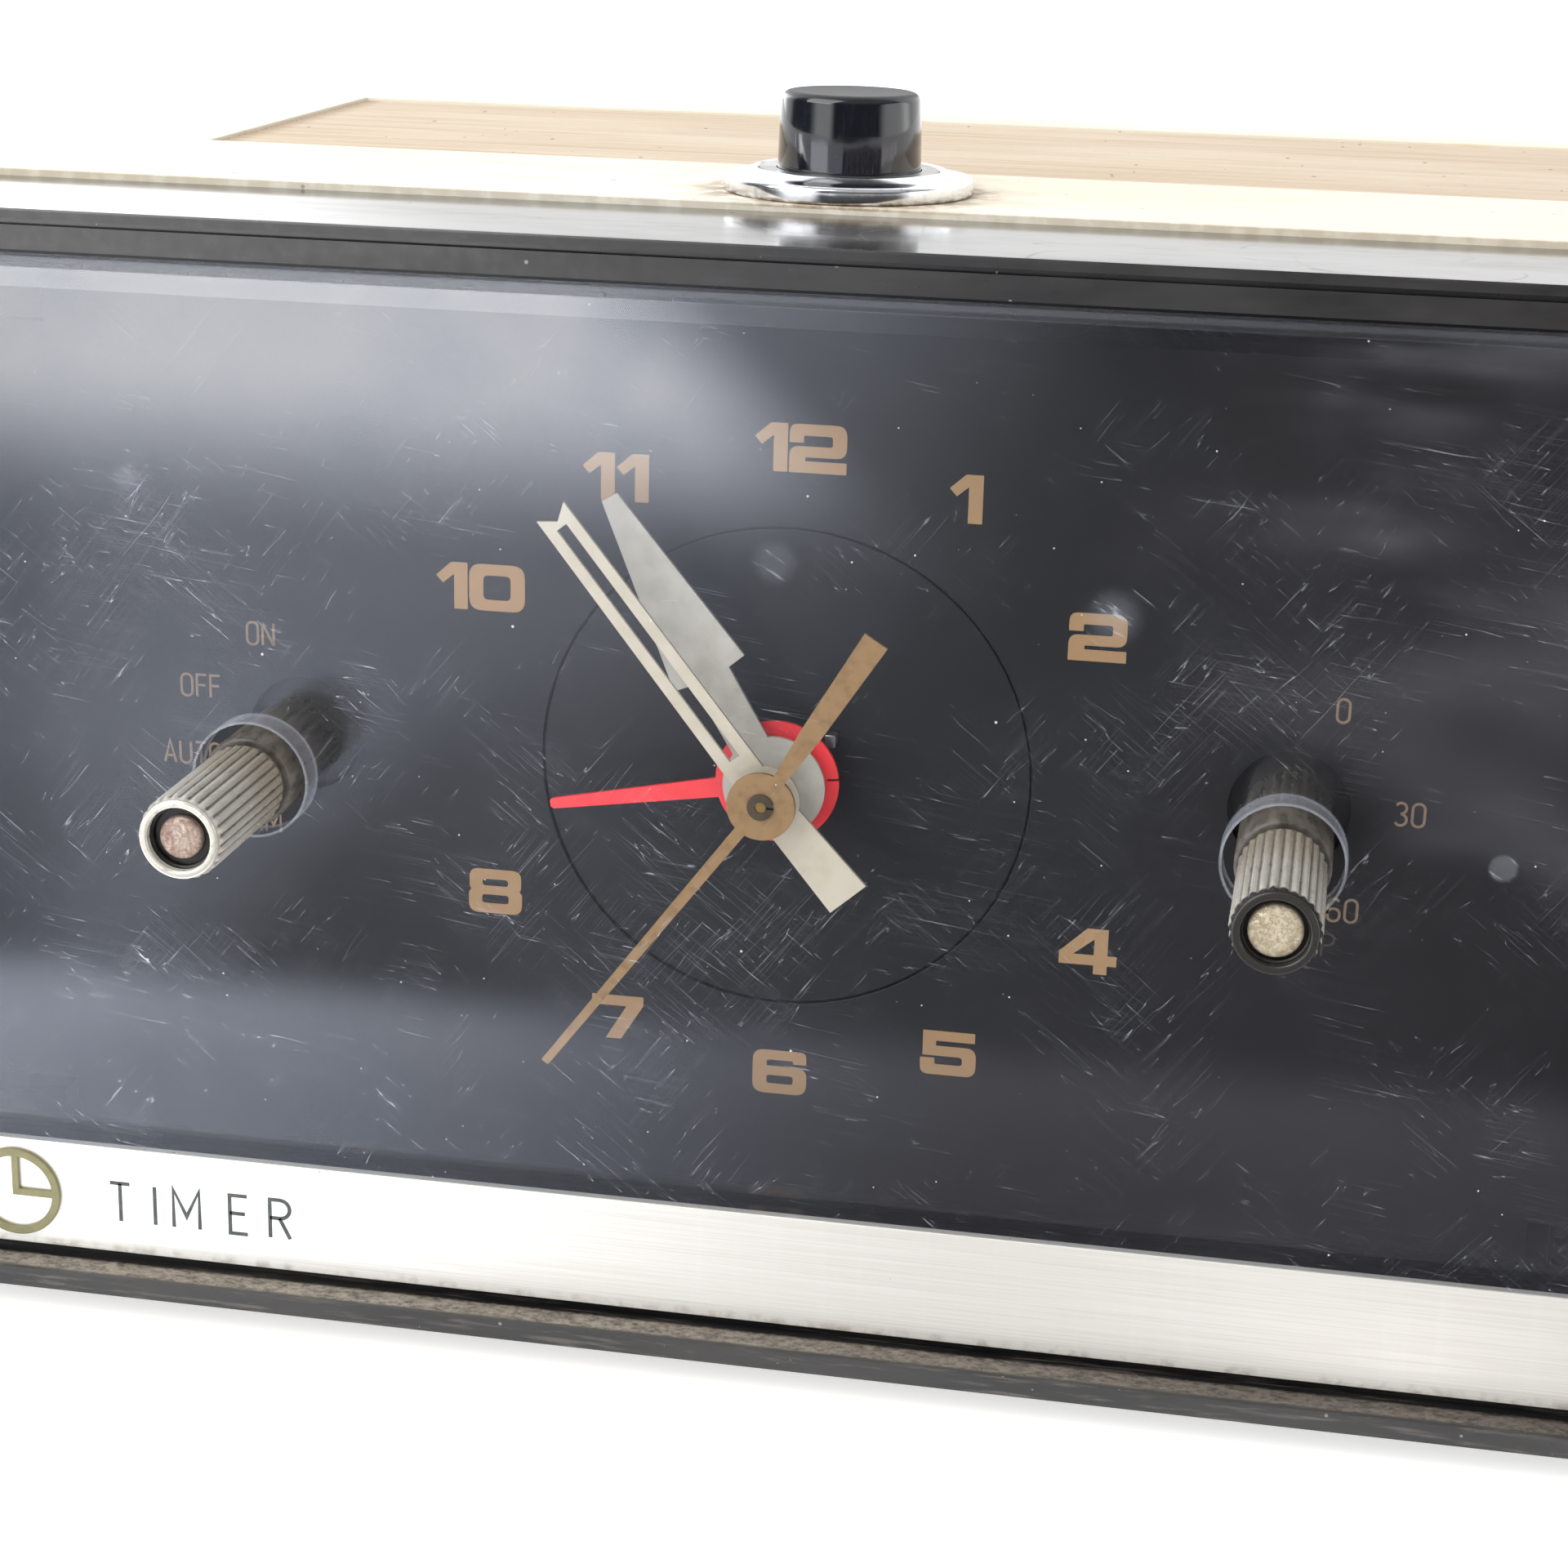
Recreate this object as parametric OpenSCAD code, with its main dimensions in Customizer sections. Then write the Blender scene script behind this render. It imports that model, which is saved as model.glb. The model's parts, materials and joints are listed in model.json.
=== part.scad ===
// Mains clock timer for a darkroom bench: a case, a black front frame with a clear window, a dial with
// four hands, a selector knob, an interval knob and a push button on top, over a synchronous clock
// movement. The front faces -Y, +X is to the right and +Z is up. The origin is under the middle of the
// whole object, on the surface that its feet stand on.
// Inside the modules, x and z are measured from the dial's axis and y from the front lip.

/* [Case] */
// Width of the case and the front frame
case_w = 168; // [150:1:220]
// Height of the case and the front frame, without the feet
case_h = 102.4; // [84:0.2:130]
// Depth from the front lip to the back edge
case_d = 108; // [90:1:140]
// Thickness of the case's walls
case_wall = 2.6; // [2.2:0.1:3.4]
// Radius of the long edges of the case
edge_r = 2.4; // [1:0.2:4]
// Height of the rubber feet
foot_h = 3; // [2:0.5:6]
// Radius of the rubber feet
foot_r = 6; // [4:0.5:9]

/* [Ribbed top panel] */
// Gap between the button's chrome ring and the ribbed panel
panel_gap = 6.8; // [2:0.2:12]
// Plain band left behind the ribbed panel
panel_back_band = 5; // [3:0.5:12]
// Plain band left of the ribbed panel
panel_left_band = 17.6; // [8:0.2:30]
// Plain band right of the ribbed panel
panel_right_band = 9.6; // [8:0.2:30]
// Distance between two ribs
rib_pitch = 1.6; // [1.2:0.1:3]

/* [Front frame and window] */
// How far the black front frame reaches behind the dial plate
frame_margin = 1.6; // [1.2:0.1:4]
// How far the frame's top lies below the top of the case
frame_step = 0.7; // [0:0.1:1.2]
// Thickness of the frame's upper lip
lip_top = 3.5; // [2.5:0.1:6]
// Thickness of the frame's lower lip
lip_bottom = 1.9; // [1.5:0.1:4]
// Thickness of the frame's side lips
lip_side = 3; // [2:0.1:6]
// Depth of the window's face behind the lips
lip_depth = 3.5; // [2:0.1:5]
// Thickness of the clear window
window_t = 2.8; // [2:0.1:3]
// Gap between the upper lip and the window
window_gap = 1.2; // [0.3:0.1:2]
// Height of the sill behind the window, above the trim strip
sill_h = 0.6; // [0.4:0.1:4]
// Height of the metal trim strip
trim_h = 10.8; // [8:0.2:14]
// Gap between the trim strip and the lower lip
trim_gap = 0.9; // [0.3:0.1:2]

/* [Dial and hands] */
// Depth of the dial's face
dial_y = 18.7; // [15:0.1:24]
// Thickness of the dial plate
dial_t = 1.5; // [1:0.1:2]
// Radius of the round centre of the dial, as a share of the dial's clear radius
disc_share = 0.614; // [0.5:0.001:0.72]
// Length of the second hand, as a share of the dial's clear radius
second_share = 0.889; // [0.7:0.001:0.985]
// Length of the minute hand, as a share of the dial's clear radius
minute_share = 0.862; // [0.7:0.001:0.985]
// Length of the hour hand, as a share of the dial's clear radius
hour_share = 0.811; // [0.55:0.001:0.94]
// Length of the red switching hand, as a share of the dial's clear radius
auto_share = 0.584; // [0.45:0.001:0.75]

/* [Knobs] */
// Distance of each knob from the dial's axis
knob_x = 46; // [44:0.5:55]
// Radius of the knobs over their ribs
knob_r = 3.8; // [3:0.02:5]
// How far the knobs stand out in front of the lips
knob_out = 14.1; // [8:0.1:22]
// Gap around each knob's collar in the window
window_hole_gap = 1.05; // [0.6:0.05:2.5]
// Number of ribs on each knob
knob_ribs = 26; // [18:1:32]

/* [Push button] */
// Radius of the button's cap
button_r = 6.6; // [5:0.1:8]
// Height of the cap above the chrome ring
button_h = 6.6; // [5:0.1:10]
// Width of the chrome ring around the button
ring_w = 3.2; // [2:0.1:5]
// Travel of the button
button_travel = 3; // [2:0.1:4]
// Gap between the front frame and the button's chrome ring
button_gap = 0.2; // [0.1:0.1:4]
// Distance of the button's axis to the right of the dial's axis
button_x = 2; // [-10:0.5:10]

/* [Rear] */
// Radius of the two setting knobs at the back
set_knob_r = 6.5; // [5:0.1:8]
// Length of the two setting knobs
set_knob_len = 9; // [6:0.5:14]
// Radius of the outlet's pin holes
outlet_pin_r = 2.45; // [2.4:0.05:2.6]
// Distance between the outlet's pin holes
outlet_pitch = 19; // [19:0.1:19.2]
// Radius of the cord's hole in its gland
gland_bore_r = 3.4; // [2.5:0.1:4]

/* [Hidden] */
$fn = 48;

// Clearances
fit = 0.2;            // pieces that drop into each other
run = 0.05;           // shafts that turn in their bearings
axial = 0.3;          // wheels beside each other on one axis
touch = 0.02;         // screws in their pilot holes

// Colours
ivory = [0.86, 0.82, 0.72];
tan_vinyl = [0.72, 0.62, 0.48];
black = [0.05, 0.05, 0.055];
bronze = [0.55, 0.42, 0.26];
steel = [0.62, 0.63, 0.65];
brass = [0.72, 0.58, 0.28];
chrome = [0.85, 0.86, 0.88];
nylon = [0.85, 0.84, 0.78];

// Half sizes of the case
half_w = case_w / 2;
half_h = case_h / 2;

// Back of everything, and the place of the dial's axis in the object's own frame
back_y = case_d + set_knob_len + 1;
front_y = (knob_out - back_y) / 2;
axis_z = foot_h + half_h;

// Dial, knobs and push button
dial_back = dial_y + dial_t;
frame_d = dial_back + frame_margin;
collar_r = knob_r + 0.35;
collar_y = 2.6;
window_hole_r = collar_r + window_hole_gap;
dial_hole_r = collar_r + 1.25;
barrel_r = button_r + 1.6;
ring_r = barrel_r + ring_w;
button_y = frame_d + ring_r + button_gap;

// Window and trim strip
window_hw = half_w - lip_side - fit;
window_bevel = 0.8;
frame_top = half_h - frame_step;
window_top = frame_top - lip_top - window_gap;
trim_bottom = lip_bottom + trim_gap - half_h;
trim_top = trim_bottom + trim_h;
trim_t = 1;
groove_at = 0.9;
groove_w = 0.5;
groove_d = 0.6;
flange_y = lip_depth + window_t + 0.1;
flange_t = 2.4;
flange_w = 4;
cavity_wall = 3;
trim_web_y = lip_depth + trim_t + 0.05;
emblem_at = [-half_w + 13.5, (trim_bottom + trim_top) / 2];

// Radius that the hands can sweep, clear of the frame and the knobs
clear_r = min(-trim_top - sill_h, window_top - 3, knob_x - collar_r - 4);

// Dial plate and its posts
disc_r = disc_share * clear_r;
dial_hw = half_w - cavity_wall - 0.3;
dial_hh = half_h - cavity_wall - 0.3;
post_r = 2.6;
corner_notch = 10.5;
tongue_len = 5;
tongue_wall = 1.8;
block = 8;
screw_r = 1.4;
head_r = 2.6;
head_h = 1.6;

// Places of the movement's plates and wheels, from front to back
spacer_end = dial_back + 6;
plate_t = 1.2;
front_plate_back = spacer_end + plate_t;
back_plate_front = front_plate_back + 18.8;
back_plate_back = back_plate_front + plate_t;
plate_hw = 30;
plate_hh = 25;
pillar_x = 26;
pillar_z = 21.5;
pillar_r = 2.4;

// Arbor and pipe radii, from the inside out
arbor_r = 0.5;
centre_in = arbor_r + run;
centre_out = 0.95;
cannon_in = centre_out + run;
cannon_out = 1.4;
hour_in = cannon_out + run;
hour_out = 1.9;
auto_in = hour_out + run;
auto_out = 2.5;
disc_bore = auto_out + run;

// Hands: depth of each hand's face between the window and the dial, thickness, length and direction,
// clockwise from twelve
window_back = lip_depth + window_t;
hand_room = dial_y - window_back;
second_y = window_back + 0.0968 * hand_room;
minute_y = window_back + 0.274 * hand_room;
hour_y = window_back + 0.589 * hand_room;
auto_y = window_back + 0.726 * hand_room;
hand_t = 0.4;
hand_hub_r = 3.1;
hour_hub_r = 4.7;
auto_hub_r = 5.7;
second_len = second_share * clear_r;
minute_len = minute_share * clear_r;
hour_len = hour_share * clear_r;
auto_len = auto_share * clear_r;
second_at = 216.8;
minute_at = 321.5;
hour_at = 329;
auto_at = 259.7;

// Gears: teeth, module and places
gear_t = 0.9;
train_m = 0.45;
fine_m = 0.425;
set_m = 0.5;
hour_m = 0.48;
motor_teeth = 12;
second_teeth = 48;
leaf_teeth = 8;
third_teeth = 60;
centre_teeth = 64;
cannon_teeth = 12;
motion_teeth = 36;
motion_leaf = 10;
hour_teeth = 40;
auto_teeth = 54;
set_teeth = 12;

motor_dir = 195;
third_dir = 30;
motion_dir = -90;
time_set_dir = -30;
auto_set_dir = 120;

motor_at = polar((motor_teeth + second_teeth) / 2 * train_m, motor_dir);
third_at = polar((leaf_teeth + third_teeth) / 2 * train_m, third_dir);
motion_at = polar((cannon_teeth + motion_teeth) / 2 * set_m, motion_dir);
time_set_at = motion_at + polar((motion_teeth + set_teeth) / 2 * set_m, time_set_dir);
auto_set_at = polar((auto_teeth + set_teeth) / 2 * set_m, auto_set_dir);

// Layers of the motion work, between the dial and the front plate
auto_wheel_y = dial_back + 0.6;
hour_wheel_y = auto_wheel_y + gear_t + axial;
motion_wheel_y = hour_wheel_y + gear_t + axial + 0.6;
cannon_gear_y = motion_wheel_y - 0.3;

// Layers of the train, between the two plates
centre_wheel_y = front_plate_back + 4;
third_wheel_y = centre_wheel_y + 8;
second_wheel_y = third_wheel_y + 3;

// Motor, core and coil, behind the back plate
can_r = 11;
can_len = 13;
core_t = 8;
core_leg = 6;
coil_x = -43;
shaft_r = 1;
stud_r = 0.8;

// Switches behind the dial
switch_r = 11;
switch_d = 11;
switch_wall = 1.2;
knob_shaft_r = 2;
selector_disc_r = 0.5 * knob_r;
interval_disc_r = 0.592 * knob_r;

// Push button
button_z = half_h;
ring_t = 2.4;
barrel_len = 13;
stem_r = 2.2;
nut_t = 2.4;
nut_r = barrel_r + 3;
spring_wire = 0.5;
spring_r = 4.2;

// Back cover, its screws and what it carries
cover_t = 2;
cover_hw = half_w - case_wall - fit;
cover_hh = half_h - case_wall - fit;
boss_at = [half_w - case_wall - 4, half_h - case_wall - 4];
outlet_at = [half_w - 34, -half_h + 34];
outlet_r = 15;
outlet_depth = 18;
gland_at = [-half_w + 22, -half_h + 13];
gland_r = 5;
vent_count = 7;
vent_len = 26;
vent_at = [-half_w + 30, half_h - 26];

// Ribbed panel and the lugs that hold the front frame
panel_start = button_y + ring_r + panel_gap;
panel_end = case_d - panel_back_band;
panel_left = panel_left_band - half_w;
panel_right = half_w - panel_right_band;
pocket_depth = 1.4;
panel_base = 0.7;
rib_r = 0.55;
lug = 8;
lug_y = frame_d + tongue_len + 0.2;
lug_t = 3;
lug_hole = [half_w - case_wall - 4, half_h - case_wall - 4];

// Index tab in the dial's centre
tab_at = [4.4, 3.5];
tab_size = [1, 1.2];

CORNERS = [[1, 1], [-1, 1], [-1, -1], [1, -1]];

// ---- helpers ----

function polar(r, a) = [r * cos(a), r * sin(a)];

// Points of a rectangle with round corners, centred
function round_rect(w, h, r) = [
    for (q = [0:3])
        for (k = [0:6])
            let (c = CORNERS[q], a = q * 90 + k * 15)
                [c[0] * (w / 2 - r) + r * cos(a), c[1] * (h / 2 - r) + r * sin(a)]
];

// Points of a straight-toothed gear: teeth that are narrow enough to pass freely
function gear_points(n, m) = [
    for (i = [0:n - 1])
        for (p = [[-0.2, -1.15], [-0.1, 0.75], [0.1, 0.75], [0.2, -1.15]])
            polar(n * m / 2 + p[1] * m, (i + p[0]) * 360 / n)
];

module in_place() {
    translate([0, front_y, axis_z]) children();
}

// A flat outline in x and z, given thickness from depth y0 to depth y1
module slab(y0, y1) {
    translate([0, y1, 0]) rotate([90, 0, 0]) linear_extrude(y1 - y0) children();
}

module rod(y0, y1, r, at = [0, 0]) {
    translate([at[0], y1, at[1]]) rotate([90, 0, 0]) cylinder(r = r, h = y1 - y0);
}

module tube(y0, y1, r_out, r_in, at = [0, 0]) {
    difference() {
        rod(y0, y1, r_out, at);
        rod(y0 - 1, y1 + 1, r_in, at);
    }
}

module box(x0, x1, y0, y1, z0, z1) {
    translate([x0, y0, z0]) cube([x1 - x0, y1 - y0, z1 - z0]);
}

// A gear whose tooth, or whose gap, points in direction a
module gear(n, m, y0, t, bore, at, a, gap = false) {
    slab(y0, y0 + t) translate(at) difference() {
        rotate(a + (gap ? 180 / n : 0)) polygon(gear_points(n, m));
        circle(r = bore);
    }
}

// Turns a flat outline that points up so that it points a degrees clockwise from twelve
module hand_at(a) {
    rotate(-a) children();
}

module corner_holes(y0, y1, r, at) {
    for (c = CORNERS) {
        rod(y0, y1, r, [c[0] * at[0], c[1] * at[1]]);
    }
}

// ---- case ----

module case_shell() color(ivory) in_place() {
    difference() {
        union() {
            difference() {
                slab(frame_d, case_d) polygon(round_rect(case_w, case_h, edge_r));
                box(case_wall - half_w, half_w - case_wall, frame_d - 1, case_d + 1,
                    case_wall - half_h, half_h - case_wall);
            }
            for (c = CORNERS) {
                case_corner(c, lug_y, lug_y + lug_t);
                case_corner(c, case_d - cover_t - 14, case_d - cover_t);
            }
        }
        box(panel_left, panel_right, panel_start, panel_end, half_h - pocket_depth, half_h + 1);
        translate([button_x, button_y, half_h - case_wall - 1]) cylinder(r = barrel_r + fit, h = case_wall + 2);
        corner_holes(lug_y - 1, lug_y + lug_t + 1, screw_r + fit, lug_hole);
        corner_holes(case_d - cover_t - 12, case_d, screw_r + touch, boss_at);
    }
}

// A block in a corner of the case that is rooted half way into its walls
module case_corner(c, y0, y1) {
    size = lug + case_wall / 2;
    inset = (case_wall + size) / 2;
    translate([c[0] * (half_w - inset), (y0 + y1) / 2, c[1] * (half_h - inset)])
        cube([size, y1 - y0, size], center = true);
}

module reeded_panel() color(tan_vinyl) in_place() {
    base_z = half_h - pocket_depth;
    ribs = floor((panel_end - panel_start - 2 * fit - 2 * rib_r) / rib_pitch);
    first = (panel_start + panel_end - ribs * rib_pitch) / 2;
    intersection() {
        union() {
            box(panel_left + fit, panel_right - fit, panel_start + fit, panel_end - fit, base_z,
                base_z + panel_base);
            for (i = [0:ribs]) {
                translate([panel_left + fit, first + i * rib_pitch, base_z + panel_base - 0.15])
                    rotate([0, 90, 0]) cylinder(r = rib_r, h = panel_right - panel_left - 2 * fit);
            }
        }
        box(panel_left, panel_right, panel_start, panel_end, base_z, half_h + 2);
    }
}

module feet() color([0.07, 0.07, 0.07]) in_place() {
    for (sx = [-1, 1], y = [frame_d + 12, case_d - 14]) {
        translate([sx * (half_w - 18), y, -half_h - foot_h]) cylinder(r = foot_r, h = foot_h);
    }
}

// ---- front frame, window and trim ----

module front_frame() color(black) in_place() {
    tongue_hw = half_w - case_wall - fit;
    tongue_hh = half_h - case_wall - fit;
    difference() {
        union() {
            slab(0, frame_d) translate([0, -frame_step / 2])
                polygon(round_rect(case_w, case_h - frame_step, edge_r));
            box(-tongue_hw, tongue_hw, frame_d - 1, frame_d + tongue_len, -tongue_hh, tongue_hh);
        }
        // Groove along the upper lip
        box(-half_w - 1, half_w + 1, -1, groove_d, frame_top - groove_at - groove_w, frame_top - groove_at);
        // Recess that holds the window and the trim strip
        box(lip_side - half_w, half_w - lip_side, -1, trim_web_y, lip_bottom - half_h, frame_top - lip_top);
        box(lip_side - half_w, half_w - lip_side, -1, flange_y, trim_top - 1, frame_top - lip_top);
        // Opening that the dial is seen through
        box(lip_side + flange_w - half_w, half_w - lip_side - flange_w, -1, flange_y + flange_t + 1,
            trim_top + sill_h, window_top - 3);
        // Room for the dial
        difference() {
            box(cavity_wall - half_w, half_w - cavity_wall, flange_y + flange_t, frame_d, cavity_wall - half_h,
                half_h - cavity_wall);
            frame_posts();
        }
        difference() {
            box(tongue_wall - tongue_hw, tongue_hw - tongue_wall, frame_d - 1, frame_d + tongue_len + 1,
                tongue_wall - tongue_hh, tongue_hh - tongue_wall);
            frame_blocks();
        }
        corner_holes(dial_back + 1, lug_y + 1, screw_r + touch, lug_hole);
        dial_screw_holes(dial_y - 6, dial_y + 1, screw_r + touch);
        // Notch in the tongue for the button's nut
        box(button_x - nut_r - 1, button_x + nut_r + 1, frame_d + 0.1, frame_d + tongue_len + 1,
            half_h - case_wall - nut_t - 4, half_h);
    }
}

function dial_screw_at() = [
    for (sx = [-1, 1], sz = [-1, 1]) [sx * (dial_hw - corner_notch - 6), sz * (dial_hh - 2.9)]
];

module frame_posts() {
    for (p = dial_screw_at()) {
        rod(flange_y, dial_y, post_r, p);
    }
}

module frame_blocks() {
    for (c = CORNERS) {
        translate([c[0] * (half_w - block / 2 - case_wall - fit), (dial_back + 1 + lug_y - 0.2) / 2,
                   c[1] * (half_h - block / 2 - case_wall - fit)])
            cube([block, lug_y - 0.2 - dial_back - 1, block], center = true);
    }
}

module dial_screw_holes(y0, y1, r) {
    for (p = dial_screw_at()) {
        rod(y0, y1, r, p);
    }
}

module window() color([0.75, 0.8, 0.85, 0.3]) in_place() {
    y0 = lip_depth;
    z0 = trim_top + 0.1;
    difference() {
        box(-window_hw, window_hw, y0, y0 + window_t, z0, window_top);
        // Sloping upper edge
        translate([0, y0, window_top]) rotate([45, 0, 0])
            cube([case_w, window_bevel * sqrt(2), window_bevel * sqrt(2)], center = true);
        for (sx = [-1, 1]) {
            rod(y0 - 1, y0 + window_t + 1, window_hole_r, [sx * knob_x, 0]);
        }
    }
}

module trim_strip() color([0.8, 0.8, 0.8]) in_place() {
    box(-window_hw, window_hw, lip_depth, lip_depth + trim_t, trim_bottom, trim_top);
}

// A ring with two hands, on a round plate
module emblem() color([0.45, 0.42, 0.2]) in_place() {
    r = trim_h * 0.41;
    slab(lip_depth - 0.4, lip_depth) translate(emblem_at) {
        difference() {
            circle(r = r);
            circle(r = r - 0.8);
        }
        translate([-0.35, -0.35]) square([0.7, r - 0.4]);
        translate([-0.35, -0.35]) square([r - 0.4, 0.7]);
    }
}

// ---- dial ----

module dial_plate() color([0.06, 0.07, 0.09]) in_place() {
    difference() {
        union() {
            box(-dial_hw, dial_hw, dial_y, dial_back, -dial_hh, dial_hh);
            for (sx = [-1, 1], sz = [-1, 1]) {
                rod(dial_y + 0.1, spacer_end, pillar_r + 0.8, [sx * pillar_x, sz * pillar_z]);
            }
        }
        for (c = CORNERS) {
            translate([c[0] * half_w, 0, c[1] * half_h])
                cube([2 * corner_notch + 6, 100, 2 * corner_notch + 6], center = true);
        }
        rod(dial_y - 1, dial_back + 1, disc_r + 0.15);
        for (sx = [-1, 1]) {
            rod(dial_y - 1, dial_back + 1, dial_hole_r, [sx * knob_x, 0]);
        }
        dial_screw_holes(dial_y - 1, dial_back + 1, screw_r + fit);
        for (sx = [-1, 1], sz = [-1, 1]) {
            rod(dial_back + 0.6, spacer_end + 1, screw_r + touch, [sx * pillar_x, sz * pillar_z]);
        }
    }
}

module dial_disc() color([0.05, 0.06, 0.08]) in_place() {
    difference() {
        tube(dial_y + 0.15, dial_back, disc_r, disc_bore);
        // Seat of the index tab
        tab_block(dial_y, 0.2);
    }
}

module index_tab() color(steel) in_place() {
    tab_block(dial_y - 1.2, 0);
}

// A block at the tab's place, from depth y0 to its seat, grown by the given clearance
module tab_block(y0, grow) {
    translate([tab_at[0], (y0 + dial_y + 0.6) / 2, tab_at[1]])
        cube([tab_size[0] + grow, dial_y + 0.6 - y0, tab_size[1] + grow], center = true);
}

// ---- hands ----

module second_hand() color(bronze) in_place() {
    slab(second_y, second_y + hand_t) difference() {
        union() {
            circle(r = hand_hub_r);
            hand_at(second_at) polygon([[-0.55, 2], [-0.38, second_len], [0.38, second_len], [0.55, 2]]);
            hand_at(second_at + 175) polygon([
                [-0.5, 2], [-0.95, 8], [-1.2, 18.7], [1.2, 18.7], [0.95, 8], [0.5, 2]
            ]);
        }
        circle(r = 1.2);
    }
}

module second_bush() color(brass) in_place() {
    difference() {
        union() {
            tube(second_y - 0.25, second_y + 1.4, 1.2, arbor_r);
            tube(second_y + hand_t, second_y + 1.4, 1.9, arbor_r);
        }
        box(0.2, 2.5, second_y - 1, second_y + 0.2, -0.12, 0.12);
    }
}

module minute_hand() color([0.88, 0.85, 0.74]) in_place() {
    tip_w = 1.55;
    slab(minute_y, minute_y + hand_t) difference() {
        union() {
            circle(r = hand_hub_r);
            hand_at(minute_at) polygon([
                [-1.7, 0], [-tip_w, minute_len], [0, minute_len - 1.1], [tip_w, minute_len], [1.7, 0]
            ]);
            hand_at(minute_at + 177) polygon([[-1.7, 0], [-2.1, 11.7], [2.1, 11.7], [1.7, 0]]);
        }
        circle(r = cannon_out);
        hand_at(minute_at) translate([-0.55, 4.6]) square([1.1, minute_len - 6.3]);
    }
}

module hour_hand() color([0.8, 0.8, 0.76]) in_place() {
    slab(hour_y, hour_y + hand_t) difference() {
        union() {
            circle(r = hour_hub_r);
            hand_at(hour_at) polygon([
                [-1.8, 3], [-1.9, 11.6], [-3.7, 11.9], [-0.8, hour_len],
                [0.8, hour_len], [3.7, 11.9], [1.9, 11.6], [1.8, 3]
            ]);
        }
        circle(r = hour_out);
    }
}

module auto_hand() color([0.85, 0.12, 0.14]) in_place() {
    slab(auto_y, auto_y + hand_t) difference() {
        union() {
            circle(r = auto_hub_r);
            hand_at(auto_at) polygon([[-0.95, 4], [-0.5, auto_len - 0.3], [-0.3, auto_len], [0.3, auto_len],
                                      [0.5, auto_len - 0.3], [0.95, 4]]);
        }
        circle(r = auto_out);
        hand_at(84) translate([-0.12, 4.6]) square([0.24, 2]);
    }
}

// ---- knobs and switches ----

module knob_core(x, disc) color(black) in_place() {
    difference() {
        union() {
            rod(collar_y, dial_y - 1.4, collar_r, [x, 0]);
            rod(0.8 - knob_out, collar_y + 0.1, knob_r - 0.75, [x, 0]);
        }
        rod(-knob_out - 1, 2.2 - knob_out, disc + touch, [x, 0]);
        rod(4 - knob_out, dial_y, knob_shaft_r, [x, 0]);
    }
}

module knob_sleeve(x) color(steel) in_place() {
    difference() {
        union() {
            rod(-knob_out, collar_y, knob_r - 0.28, [x, 0]);
            for (i = [0:knob_ribs - 1]) {
                translate([x, 0, 0]) rotate([0, i * 360 / knob_ribs, 0])
                    box(-0.26, 0.26, 0.7 - knob_out, collar_y - 0.5, knob_r - 0.6, knob_r);
            }
        }
        rod(-knob_out - 1, collar_y + 1, knob_r - 0.75, [x, 0]);
    }
}

module knob_disc(x, disc) color([0.75, 0.7, 0.62]) in_place() {
    rod(0.35 - knob_out, 2.2 - knob_out, disc, [x, 0]);
}

module knob_shaft(x) color(steel) in_place() {
    rod(4 - knob_out, dial_back + switch_d - 1, knob_shaft_r, [x, 0]);
}

module switch_body(x) color([0.35, 0.2, 0.1]) in_place() {
    y0 = dial_back + 0.2;
    difference() {
        union() {
            rod(y0, y0 + switch_d, switch_r, [x, 0]);
            box(x - switch_r - 3, x + switch_r + 3, y0, y0 + 1.4, -3, 3);
        }
        rod(y0 + switch_wall, y0 + switch_d - switch_wall, switch_r - switch_wall, [x, 0]);
        rod(y0 - 1, y0 + switch_d - switch_wall + 0.1, knob_shaft_r + run, [x, 0]);
        // Slots that the contact leaves leave by
        for (sz = [-1, 1]) {
            box(x - 2.2, x + 2.2, y0 + 3.6, y0 + 7.4, sz == 1 ? switch_r - 3 : -switch_r - 1,
                sz == 1 ? switch_r + 1 : 3 - switch_r);
        }
    }
}

// A cam with one lobe, keyed to the knob's shaft
module switch_cam(x, lobe) color(nylon) in_place() {
    y0 = dial_back + 0.2 + switch_wall + axial;
    slab(y0, y0 + switch_d - 2 * switch_wall - 2 * axial) translate([x, 0]) difference() {
        union() {
            circle(r = 4.6);
            rotate(lobe) translate([0, -1.5]) square([5.8, 3]);
        }
        circle(r = knob_shaft_r);
    }
}

// Two spring leaves that stand in the switch's slots, clear of the cam
module switch_contacts(x) color(brass) in_place() {
    y0 = dial_back + 0.2;
    for (sz = [-1, 1]) {
        z0 = sz == 1 ? 6.4 : -switch_r - 4;
        box(x - 1.6, x - 1.1, y0 + 4, y0 + 7, z0, z0 + switch_r - 2.4);
        box(x + 1.1, x + 1.6, y0 + 4, y0 + 7, z0, z0 + switch_r - 2.4);
    }
}

module selector_knob() knob_core(-knob_x, selector_disc_r);
module selector_sleeve() knob_sleeve(-knob_x);
module selector_disc() knob_disc(-knob_x, selector_disc_r);
module selector_shaft() knob_shaft(-knob_x);
module selector_switch() switch_body(-knob_x);
module selector_cam() switch_cam(-knob_x, 0);
module selector_contacts() switch_contacts(-knob_x);
module interval_knob() knob_core(knob_x, interval_disc_r);
module interval_sleeve() knob_sleeve(knob_x);
module interval_disc() knob_disc(knob_x, interval_disc_r);
module interval_shaft() knob_shaft(knob_x);
module interval_switch() switch_body(knob_x);
module interval_cam() switch_cam(knob_x, 180);
module interval_contacts() switch_contacts(knob_x);

// ---- push button ----

module at_button(z) {
    in_place() translate([button_x, button_y, button_z + z]) children();
}

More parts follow.
